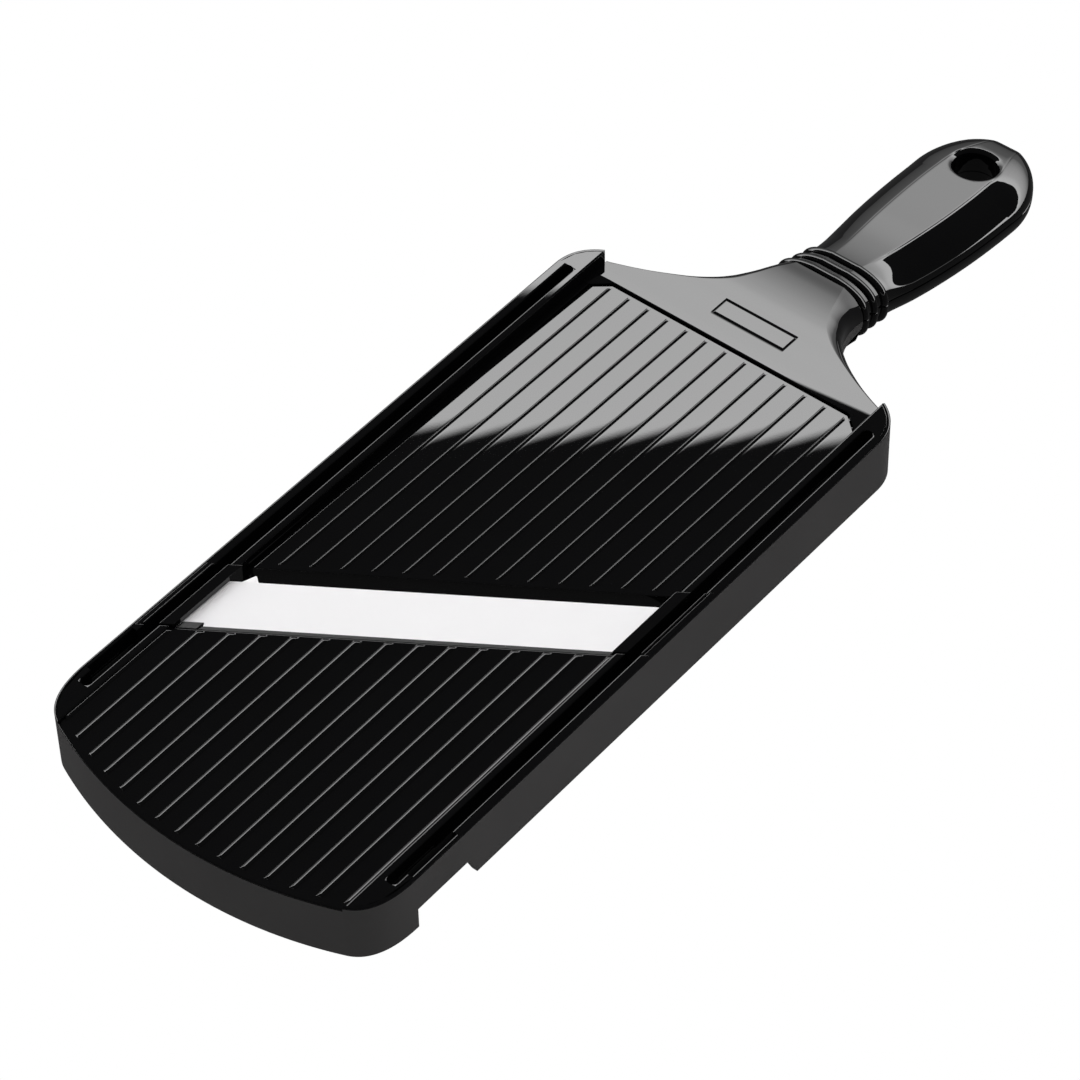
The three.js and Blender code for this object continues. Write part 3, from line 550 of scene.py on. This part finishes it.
front_rows = [-146, -144, -142, -140, -138, -136, -134, -132, GROOVE_START - 0.05,
              *(GROOVE_START + end_x), ENTRY_START, ENTRY_START + 0.05, ENTRY_START + 0.4,
              ENTRY_END - 0.4, ENTRY_END - 0.05, ENTRY_END, -104, -100, -95, -85, -70, -50, -32]
front_open = [-1] * 9 + [*np.sin(swing)] + [1] * 13
front_wide = [0] * 19 + [1, 1, 1, 1] + [0] * 8
front_wide = np.array(front_wide) * ENTRY_WIDER
rear_rows = [-80, -60, -40, -10, 30, 60, *(GROOVE_END - end_x[::-1]), GROOVE_END + 0.05,
             83, 85, 87, 88, 89, 90, 91, 92, 93]
rear_open = [1] * 6 + [*np.sin(swing)[::-1]] + [-1] * 10
LEDGE_TOP, BOSS_OUT = 15.9, 55.5
SEAT_LOW, SEAT_TOP_Z, SEAT_OUT, BEARING_LOW, BEARING_IN = 7.0, 9.0, 57.9, 8.15, 49.6


def seam_front_x(y):
    """x of the seam in front of the blade: its offset and the slant times y."""
    return SEAM_FRONT + SLANT * y


def seam_rear_x(y):
    """x of the seam behind the blade: its offset and the slant times y."""
    return SEAM_REAR + SLANT * y


def rail_end_x(y):
    """x of the rail's rear end, a hair past the rim's border."""
    return rear_x(y) + 1e-3


for side in (1, -1):
    rail(side, front_rows, front_x, seam_front_x, front_open, front_wide, RAIL_BOTTOM)
    rail(side, rear_rows, seam_rear_x, rail_end_x, rear_open, np.zeros(len(rear_rows)), RAIL_BOTTOM)
    ledge = sorted([side * PLATE_BAY, side * (DECK_HALF + 0.1)])
    ledge_start = seam_rear_x(side * PLATE_BAY)
    moulding.along(box(*ledge, RAIL_BOTTOM, LEDGE_TOP), ledge_start, 82.5, radius=0.25)
    seat = sorted([side * PLATE_BAY, side * (HALF_WIDTH - RIM)])
    moulding.along(box(*seat, SEAT_LOW, SEAT_TOP_Z), SEAM_FRONT - 1.8, SEAM_REAR + 1.8, slant=SLANT)
    strip = sorted([side * SEAT_OUT, side * (HALF_WIDTH - RIM)])
    moulding.along(box(*strip, 8.0, RAIL_TOP), SEAM_FRONT - 0.5, SEAM_REAR + 0.5,
                   radius=0.1, slant=SLANT)
    bearing = sorted([side * BEARING_IN, side * (HALF_WIDTH - RIM)])
    moulding.along(box(*bearing, BEARING_LOW, RAIL_BOTTOM + 0.5), 5.0, 23.0)
    boss = sorted([side * PLATE_BAY, side * BOSS_OUT])
    moulding.along(box(*boss, SEAT_LOW, RAIL_BOTTOM + 0.5), 79.0, 88.0)

# The shoulders and the neck: sections across the body from the feed bay's head to the handle. The top
# slopes down a little towards the handle, rounds over into the side walls, and the walls come
# together under it. A thin line engraved in the top frames a blank sign panel.
HEAD_X, CHAMFER, CHAMFER_Y, NECK_END_X = 86.6, 4.8, 43.8, 131.0
SIGN = {"x0": 94.9, "x1": 102.3, "half": 13.4, "deep": 0.22, "line": 0.35}

neck_x = np.unique(np.concatenate([
    [81.8, 82.2, 84, HEAD_X, HEAD_X + 0.03, HEAD_X + 0.1, HEAD_X + 0.2, HEAD_X + 0.3, HEAD_X + 0.4],
    [90.0, 90.1, 91.5, 92.6, 92.9, 93.2, 93.6, 94.0, 94.4, 115.0, 115.05],
    SIGN["x0"] + SIGN["line"] * np.array([0, 0.5, 1, 1.5, 2]),
    SIGN["x1"] - SIGN["line"] * np.array([0, 0.5, 1, 1.5, 2]),
    np.linspace(95.5, NECK_END_X, 60),
]))[:, None]
SHOULDER_X = 92.9
# Half-widths of the neck's outline and of the crest of its top, along x.
OUTLINE = [(81.0, 51.2), (SHOULDER_X, 51.2), (94.0, 49.6), (96.6, 44.2), (99.4, 39.0), (102.6, 33.7),
           (106.2, 28.6), (109.4, 24.8), (113.0, 21.6), (117.0, 19.3), (121.0, 17.7), (126.0, 16.75),
           (131.0, 16.4)]
CREST = [(SHOULDER_X, 50.2), (93.6, 48.2), (97, 39.8), (100.8, 32), (105.3, 24), (110.1, 18.2),
         (117, 14.0), (123.9, 11.5), (131, 8.8)]
width = np.where(neck_x < SHOULDER_X, DECK_HALF, flow(neck_x[:, 0], OUTLINE)[0][:, None])
crest = flow(neck_x[:, 0], CREST)[0][:, None]
crest = np.where(neck_x < SHOULDER_X, DECK_HALF, np.minimum(crest, width - 0.4))
drop = np.interp(neck_x, [SHOULDER_X, 93.0, 95, 98, 112, 131], [0, 0.5, 3.0, 4.4, 5.2, 8.6])
NECK_SLOPE = [(80, NECK_TOP), (HEAD_X, NECK_TOP), (95, NECK_TOP - 0.16), (104, NECK_TOP - 0.36),
              (111, NECK_TOP - 0.6), (117, 15.1), (124, 13.9), (131, 12.1)]
neck_top = flow(neck_x[:, 0], NECK_SLOPE)[0][:, None]
foot = np.interp(neck_x, [90.0, 90.1, 104, 113, 121, NECK_END_X], [7.0, 0, 0, -1.5, -3.6, -6.8])
foot_round = np.interp(neck_x, [108, 116, NECK_END_X], [FOOT_ROUND, 3.0, 8.6])
roof = np.where(neck_x < 115.03, np.minimum(neck_top - ROOF, 13.8), foot + 0.01)

turn = np.linspace(0, math.pi / 2, 10)[None, :]
flat = np.concatenate([[0, 5, 9, 12.5], SIGN["half"] - SIGN["line"] * np.array([2, 1.5, 1, 0.5, 0]),
                       [SIGN["half"] + BESIDE, 22, 32, 38, 43.7, CHAMFER_Y, 46, 48.8]])[None, :]
flat = np.minimum(flat, crest - BESIDE)
crest_turn = np.interp(neck_x, [93, 104, NECK_END_X], [0.0, 0.35, 0.5])
over = crest_turn + (math.pi / 2 - crest_turn) * turn / (math.pi / 2)
over_y = crest + (width - crest) * (np.sin(over) - np.sin(crest_turn)) / (1 - np.sin(crest_turn))
over_z = neck_top - drop * (np.cos(crest_turn) - np.cos(over)) / np.cos(crest_turn)
under_y = width - foot_round * (1 - np.cos(turn))
under_z = foot + foot_round * (1 - np.sin(turn))
half_y = np.concatenate([flat, over_y, width, under_y], axis=1)
wall_z = (over_z[:, -1:] + foot + foot_round) / 2
half_z = np.concatenate([neck_top + 0 * flat, over_z, wall_z, under_z], axis=1)
section_y = np.concatenate([-half_y[:, :0:-1], half_y], axis=1)
section_z = np.concatenate([half_z[:, :0:-1], half_z], axis=1)
lower_y = np.clip(section_y, -(width - WALL), width - WALL)
lower_z = np.minimum(section_z, roof)


def head_x(y):
    """x of the neck's front edge: square across, with a chamfer at each corner."""
    return HEAD_X - CHAMFER * np.clip((np.abs(y) - CHAMFER_Y) / 5.5, 0, 1)


section_x = np.maximum(neck_x, head_x(section_y))
panel = np.minimum(section_x - SIGN["x0"], SIGN["x1"] - section_x)
panel = np.minimum(panel, SIGN["half"] - np.abs(section_y))
line = np.clip(1 - np.abs(panel - SIGN["line"]) / SIGN["line"], 0, 1)
section_z = section_z - SIGN["deep"] * line - round_over(section_x - head_x(section_y), 0.3)
neck_finish = np.zeros((len(neck_x) - 1, section_y.shape[1] - 1), int)
wall_lines = 10
neck_finish[:, :wall_lines] = neck_finish[:, -wall_lines:] = 1
moulding.solid(points(section_x, section_y, section_z),
               points(np.maximum(neck_x, head_x(lower_y)), lower_y, lower_z), neck_finish)
moulding.build("frame_moulding", "body", "frame_plastic", ["main_frame"], polished, satin)


# ---- Feed plate -----------------------------------------------------------------------------------
# The ramp that carries the food to the blade: a thin polished moulding with thirteen ribs on top. Two
# ears hang on steel pins at its head, and two pads under it stand on the rod's cams.

PLATE_TOP, PLATE_THICK, PLATE_HALF, PLATE_END, PLATE_HEAD = 15.3, 2.4, 49.0, -34.9, 86.3
PLATE_RIBS, SINK, SINK_WIDTH = 6, 0.003, 1.2
# At the thinnest setting the cams hold the plate's end up by nearly all of the joint's range.
CAM_SHARE = 0.995
plate_lift = math.radians(plate_joint["range_deg"][0]) * CAM_SHARE


def tilted(shape):
    """Deck millimetres to metres, turned about the hinge on the way: the thinnest setting lifts the
    plate's end."""
    x, y, z = np.moveaxis(shape - HINGE, -1, 0)
    c, s = math.cos(plate_lift), math.sin(plate_lift)
    return to_table(points(c * x - s * z, y, s * x + c * z) + HINGE)


def plate_head(y):
    """x of the plate's head, square across with a chamfer at each corner."""
    return PLATE_HEAD - CHAMFER * np.clip((np.abs(y) - (PLATE_HALF - 5.5)) / 5.5, 0, 1)


y = ribbed_lines(PLATE_RIBS, PLATE_HALF, RAMP_RIB)
y = np.unique(np.concatenate([y, np.array([-1, 1]) * (PLATE_HALF - 5.5)]))[None, :]
plate_end = PLATE_END + SLANT * y
near = into_edge(6.0, 3.0, 2.7, 2.4, 2.3, 2.2, 1.0)[::-1]
between = np.linspace(0, 1, 40)[1:-1, None]
away = into_edge(3.0, 2.4, 2.0, 1.8, 1.6, 1.0)
x = np.concatenate([plate_end + near,
                    (1 - between) * (plate_end + near[-1]) + between * (plate_head(y) - away[0]),
                    plate_head(y) - away])
nearest_rib = RIB_PITCH * np.clip(np.round(y / RIB_PITCH), -PLATE_RIBS, PLATE_RIBS)
share = rib_share(x - plate_end - 2.3) * rib_share(plate_head(y) - 1.6 - x)
sunk = SINK * np.exp(-(((y - nearest_rib) / SINK_WIDTH) ** 2))
fallen = np.maximum(np.maximum(round_over(x - plate_end), round_over(plate_head(y) - x)),
                    round_over(PLATE_HALF - np.abs(y)))
z = PLATE_TOP + rib_lift(y - nearest_rib, RAMP_RIB) * share - sunk - fallen

PLATE_BOTTOM, LIP_LOW = PLATE_TOP - PLATE_THICK, 8.5
plate = Moulding(tilted)
plate.solid(points(x, y, z), points(x, y, PLATE_BOTTOM))
plate.across(box(PLATE_END, PLATE_END + 2.6, LIP_LOW, PLATE_BOTTOM + 0.3), -PLATE_HALF, PLATE_HALF)
EAR_LOW, PAD_Y, PAD_LOW, STIFFENER_LOW = 9.6, 38.0, 12.5, 10.6
for side in (1, -1):
    plate.along(box(*sorted([side * 42.0, side * 48.7]), EAR_LOW, PLATE_BOTTOM + 0.5), 79.5, 86.3)
    pad = sorted([side * (PAD_Y - 4), side * (PAD_Y + 4)])
    plate.along(box(*pad, PAD_LOW, PLATE_BOTTOM + 0.5), 9.0, 19.0)
for y in (-30.0, 0.0, 30.0):
    plate.along(box(y - 1, y + 1, STIFFENER_LOW, PLATE_BOTTOM + 0.5), 26.0, 79.0)
plate.build("feed_ramp", "plate", "plate_plastic", ["feed_plate"], polished)


# ---- Blade carrier --------------------------------------------------------------------------------
# A satin moulding that lies slanted across the frame under the blade. Its tabs are held on the
# frame's ledges by the end clamps' screws, and a low wall and a small hook keep the blade down.

BLADE_TOP, BLADE_THICK, BLADE_REAR, BLADE_EDGE = 18.5, 1.5, -62.6, -41.5
CARRIER_REAR, SEAT_TOP = SEAM_FRONT + 0.3, BLADE_TOP - 1.8

carrier_satin = plastic("carrier_satin", (0.006, 0.006, 0.006), (0.010, 0.010, 0.010),
                        0.25, 0.12, 3e-6, specular=0.4)
carrier = Moulding()
carrier.across(box(CARRIER_REAR, BLADE_EDGE - 4, 12.2, SEAT_TOP), -53.2, 53.2)
carrier.across(box(CARRIER_REAR, CARRIER_REAR + 2.6, 8.0, 12.6), -49.0, 49.0)
carrier.across(box(CARRIER_REAR, BLADE_REAR - 0.3, SEAT_TOP - 0.5, BLADE_TOP + 0.6), -50.0, 50.0,
               radius=0.25)
carrier.across([[CARRIER_REAR, SEAT_TOP], [BLADE_REAR - 0.3, SEAT_TOP],
                [BLADE_REAR - 0.3, BLADE_TOP + 0.25], [BLADE_REAR + 0.9, BLADE_TOP + 0.25],
                [BLADE_REAR + 0.9, BLADE_TOP + 1],
                [CARRIER_REAR, BLADE_TOP + 1]], 45.0, 50.0, radius=0.15)
for side in (1, -1):
    carrier.across(box(CARRIER_REAR, SEAM_REAR - 0.3, 9.3, 11.2), *sorted([side * 49.6, side * 57.6]))
    carrier.across(box(CARRIER_REAR, BLADE_EDGE - 4, 11.0, 12.6), *sorted([side * 49.6, side * 53.2]))
carrier.build("blade_bed", "body", "carrier_plastic", ["blade_carrier"], carrier_satin)


# ---- Ceramic blade --------------------------------------------------------------------------------
# A white zirconia plate, ground flat and sharpened from below to one straight slanted edge. A small
# lug stands out of the edge near its left end. It lies on the carrier's bed.

BLADE_REACH, LUG_Y, LUG_OUT = 53.2, 45.8, 3.1

ceramic = bpy.data.materials.new("ground_ceramic")
ceramic.use_nodes = True
ceramic.node_tree.nodes.clear()
paint = Wire(ceramic.node_tree)
place = paint.add("ShaderNodeTexCoord", out="Object")
stretched = paint.add("ShaderNodeMapping", None, {"Vector": place, "Scale": (900.0, 120.0, 900.0)})
grinding = paint.add("ShaderNodeTexNoise", None, {"Vector": stretched, "Scale": 1.0, "Detail": 3.0})
cloud = paint.add("ShaderNodeTexNoise", None, {"Vector": place, "Scale": 60.0, "Detail": 3.0})
colour = paint.add("ShaderNodeMix", {"data_type": "RGBA"},
                   {0: cloud, 6: (0.87, 0.86, 0.87, 1.0), 7: (0.9, 0.89, 0.9, 1.0)}, out=2)
normal = paint.add("ShaderNodeBump", None, {"Height": grinding, "Strength": 1.0, "Distance": 3e-7})
shader = paint.add("ShaderNodeBsdfPrincipled", None,
                   {"Base Color": colour, "Roughness": grinding * 0.06 + 0.3, "Normal": normal})
paint.add("ShaderNodeOutputMaterial", None, {"Surface": shader})

blade = Moulding()
blade.across([[BLADE_REAR, BLADE_TOP - BLADE_THICK], [BLADE_EDGE - 2.8, BLADE_TOP - BLADE_THICK],
              [BLADE_EDGE, BLADE_TOP - 0.12], [BLADE_EDGE, BLADE_TOP], [BLADE_REAR, BLADE_TOP]],
             -BLADE_REACH, BLADE_REACH, radius=[0.1, 0.1, 0.04, 0.04, 0.1])
edge_x = BLADE_EDGE + SLANT * LUG_Y
lug = rounded([[edge_x - 3 - SLANT * 2, LUG_Y - 2], [edge_x - SLANT * 2, LUG_Y - 2],
               [edge_x + LUG_OUT, LUG_Y + 0.3], [edge_x + SLANT * 2, LUG_Y + 2],
               [edge_x - 3 + SLANT * 2, LUG_Y + 2]], 0.4)
blade.beam(lug, BLADE_TOP - 1.3, BLADE_TOP - 0.01, lambda at, z: points(at[:, 0], at[:, 1], z),
           edge=0.1)
blade.build("slicing_blade", "body", "blade_ceramic", ["ceramic_blade"], ceramic)


# ---- End clamps -----------------------------------------------------------------------------------
# Two short rail lengths that carry the guard's groove over the blade's ends. Each is screwed up
# against the frame's ledge and presses the blade onto the carrier.

CLAMP_TOP, CLAMP_OUT, CLAMP_IN, COVER_LOW = RAIL_TOP + 0.25, 57.6, 50.4, 18.8
for word, side in (("left", 1), ("right", -1)):
    clamp = Moulding()
    section = np.array([[CLAMP_IN, COVER_LOW], [53.5, COVER_LOW], [53.5, 11.5], [CLAMP_OUT, 11.5],
                        [CLAMP_OUT, CLAMP_TOP], [GROOVE_OUT, CLAMP_TOP], [GROOVE_OUT, GROOVE_FLOOR],
                        [GROOVE_IN + 0.2, GROOVE_FLOOR], [GROOVE_IN + 0.2, CLAMP_TOP],
                        [CLAMP_IN, CLAMP_TOP]])
    section = (section * [side, 1])[::side]
    clamp.along(section, SEAM_FRONT + 0.3, SEAM_REAR - 0.3, radius=0.14, slant=SLANT)
    foot = box(*sorted([side * CLAMP_IN, side * 53.6]), 11.5, COVER_LOW + 0.3)
    clamp.along(foot, BLADE_EDGE + 0.3, SEAM_REAR - 0.3, radius=0.2, slant=SLANT)
    clamp.build("end_clamp_" + word, "body", "frame_plastic", ["blade_end_clamp_" + word], polished)


# ---- Handle ---------------------------------------------------------------------------------------
# Two hollow polished shells, screwed together from below round the frame's tongue. Their section is a
# soft oval with a flat facet along the top, creased at its edges between the rings and the hole;
# three rings stand round the neck, and a round hole with a bevelled rim goes through near the end.

HANDLE = [
    (118.0, 18.6, 6.9, 9.4, 9.6), (131.0, 16.2, 2.7, 9.4, 9.5), (145.0, 15.1, -1.2, 9.2, 9.4),
    (159.0, 17.0, -3.9, 9.3, 9.6), (175.0, 18.8, -5.9, 9.5, 9.9), (200.0, 19.9, -8.6, 9.6, 10.2),
    (224.0, 19.3, -11.0, 9.5, 9.7), (236.0, 18.5, -12.0, 9.3, 9.3),
]
HANDLE_START, ROUND_START, ROUND_LENGTH = 131.3, 207.0, 24.9
HOLE_X, HOLE_R, BEVEL, BEVEL_DEPTH = 212.0, 7.3, 1.7, 1.1
BEADS, BEAD_WIDTH, BEAD_HEIGHT = (133.0, 138.4, 143.8), 1.5, 1.1
SEAM_HALF, SEAM_ROUND = 0.15, 0.35
SCREWS, WELL_R, WELL_DEPTH = (150.0, 170.0, 190.0), 3.4, 6.4
TOP_POWER, BOTTOM_POWER = 0.8, 0.645
CREASE, CREASE_HALF, CREASE_TURN = 0.12, 0.4, 0.75
GROOVE_RUN_IN, GROOVE_RUN = 148.0, 8.0
CREASE_AT, CREASE_SHARE = (146.0, 156.0, 203.0, 224.0), (0.0, 1.0, 1.0, 0.0)
FACET = [(131, 4.0), (145, 5.0), (159, 6.8), (175, 8.2), (190, 8.9), (203, 8.9), (213, 8.3),
         (224, 5.5), (236, 3.0)]

bead_x = np.array(BEADS)
bead_rows = bead_x[:, None] + BEAD_WIDTH * np.sin(np.linspace(-1, 1, 13) * math.pi / 2)
bead_rows = np.concatenate([bead_rows.reshape(-1), bead_x - BEAD_WIDTH - 0.05,
                            bead_x + BEAD_WIDTH + 0.05])
hole_rows = HOLE_X + HOLE_R * np.cos(np.linspace(0, math.pi, 31))
rim_rows = np.concatenate([HOLE_X + way * (HOLE_R + np.linspace(0.15, BEVEL, 7)) for way in (1, -1)])
tip_rows = ROUND_START + ROUND_LENGTH * np.sin(np.linspace(0, math.pi / 2, 26))
rows = np.concatenate([[HANDLE_START, HANDLE_START + 0.06], bead_rows, np.linspace(146, 204, 44),
                       hole_rows, rim_rows, tip_rows])
rows = rows[rows >= HANDLE_START]
rows = np.unique(np.round(rows, 4))


def handle_half(x, way):
    """Half-width, centre height and half-thickness above (way 1) or below (-1) at x: the stations'
    curve, the rings' half rounds added, drawn in over the rounded end."""
    half, centre, above, below = flow(x, HANDLE)
    bead = sum(np.sqrt(np.clip(1 - ((x - at) / BEAD_WIDTH) ** 2, 0, 1)) for at in BEADS) * BEAD_HEIGHT
    end = np.sqrt(np.clip(1 - (np.clip(x - ROUND_START, 0, None) / ROUND_LENGTH) ** 2, 0, 1))
    return half * end + bead, centre, (above if way > 0 else below) * np.sqrt(end) + bead


def shell(way, wells):
    """One shell: for each side, a grid from the middle (or the hole's edge) out over the facet and
    the rounded flank, down to the seam. The flank's y and z are the half sizes times the cosine and
    sine of an angle, each to a power; creased, it is a part of an ellipse that starts already bent."""
    made = Moulding()
    power = TOP_POWER if way > 0 else BOTTOM_POWER
    half, centre, thick = (v[:, None] for v in handle_half(rows, way))
    x = rows[:, None]
    hole = np.sqrt(np.clip(HOLE_R**2 - (x - HOLE_X) ** 2, 0, None))
    facet = np.minimum(flow(rows, FACET)[0][:, None], 0.62 * half)
    facet = np.maximum(facet, np.minimum(hole + 0.3, half * 0.9))
    share = np.array([0, 0.02, 0.06, 0.1, 0.16, 0.22, 0.3, 0.4, 0.5, 0.6, 0.7, 0.8, 0.9, 0.95, 0.975])
    inner = hole + (facet - hole) * share[None, :]
    wide = np.maximum(half, 1e-6)
    crease = np.arccos(np.clip(facet / wide, 0, 1) ** (1 / power))
    angle = crease * (1 - np.array([0, 0.01, 0.025, 0.05, *np.linspace(0.1, 1, 15)])[None, :])
    flank_y, flank_z = half * np.cos(angle) ** power, thick * np.sin(angle) ** power
    if way > 0:
        bent_over = CREASE_TURN + (math.pi / 2 - CREASE_TURN) * (1 - angle / crease)
        reach = (np.sin(bent_over) - math.sin(CREASE_TURN)) / (1 - math.sin(CREASE_TURN))
        creased = np.interp(x, CREASE_AT, CREASE_SHARE)
        flank_y = flank_y + creased * (facet + (half - facet) * reach - flank_y)
        bent_z = flank_z[:, :1] * np.cos(bent_over) / math.cos(CREASE_TURN)
        flank_z = flank_z + creased * (bent_z - flank_z)
    inner_angle = np.arccos(np.clip(inner / wide, 0, 1) ** (1 / power))
    level = flank_z[:, :1] if way > 0 else thick * np.sin(inner_angle) ** power
    inner_z = level + 0 * inner
    seam_y = half - SEAM_ROUND * np.array([[0.0, 0.3, 1.0]])
    seam_z = SEAM_HALF + SEAM_ROUND * np.array([[1.0, 0.3, 0.0]]) * np.minimum(1, thick)
    keep = np.maximum(flank_z[:, :-1], SEAM_HALF + SEAM_ROUND)
    y = np.concatenate([inner, flank_y[:, :-1], np.maximum(seam_y, 0)], axis=1)
    z = np.concatenate([inner_z, keep, seam_z], axis=1)
    z = np.maximum(z, SEAM_HALF)
    y = np.minimum(y, half)
    if way > 0:
        groove = CREASE * np.clip(1 - np.abs(y - facet) / CREASE_HALF, 0, 1)
        z = z - groove * np.clip((x - GROOVE_RUN_IN) / GROOVE_RUN, 0, 1)
    rim = np.hypot(x - HOLE_X, y) - HOLE_R
    z = z - BEVEL_DEPTH * np.clip(1 - rim / BEVEL, 0, 1) ** 2
    height = centre + way * z
    if way < 0:
        height = np.maximum(height, -(x - FRONT_X) * math.tan(lean))
        for at in wells:
            inside = np.hypot(x - at, y) < WELL_R
            height = np.where(inside, flow(np.array([at]), HANDLE)[1][0] - WELL_DEPTH, height)
    for side in (1, -1):
        flat_y = np.minimum(y, np.maximum(half - SEAM_ROUND, 0))
        made.solid(points(x, side * y, height), points(x, side * flat_y, centre + way * SEAM_HALF))
    return made


handle_polish = plastic("handle_black", BLACK, WORN_BLACK, 0.006, 0.012, PEEL)
upper, lower = shell(1, ()), shell(-1, SCREWS)
upper.build("handle_top", "body", "handle_plastic", ["handle_upper_shell"], handle_polish)
lower.build("handle_bottom", "body", "handle_plastic", ["handle_lower_shell"], handle_polish)


# ---- Thickness rod, caps, pins and screws ---------------------------------------------------------
# The cross rod with its two cams turns in caps screwed under the rails; the pins and the screws are
# bright steel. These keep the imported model's own shapes.

steel = bpy.data.materials.new("bright_steel")
steel.use_nodes = True
steel.node_tree.nodes.clear()
paint = Wire(steel.node_tree)
place = paint.add("ShaderNodeTexCoord", out="Object")
streak = paint.add("ShaderNodeTexNoise", None, {"Vector": place, "Scale": 2200.0, "Detail": 2.0})
colour = paint.add("ShaderNodeMix", {"data_type": "RGBA"},
                   {0: streak, 6: (0.52, 0.52, 0.53, 1.0), 7: (0.66, 0.66, 0.67, 1.0)}, out=2)
shader = paint.add("ShaderNodeBsdfPrincipled", None,
                   {"Base Color": colour, "Roughness": streak * 0.15 + 0.22, "Metallic": 1.0})
paint.add("ShaderNodeOutputMaterial", None, {"Surface": shader})

slots = {part["node"]: part["material_slot"] for part in frame["record"]["subparts"]}
for name, node in frame["nodes"].items():
    if not node.hide_render:
        node.data.materials.clear()
        node.data.materials.append(steel if slots[name] == "screw_steel" else carrier_satin)
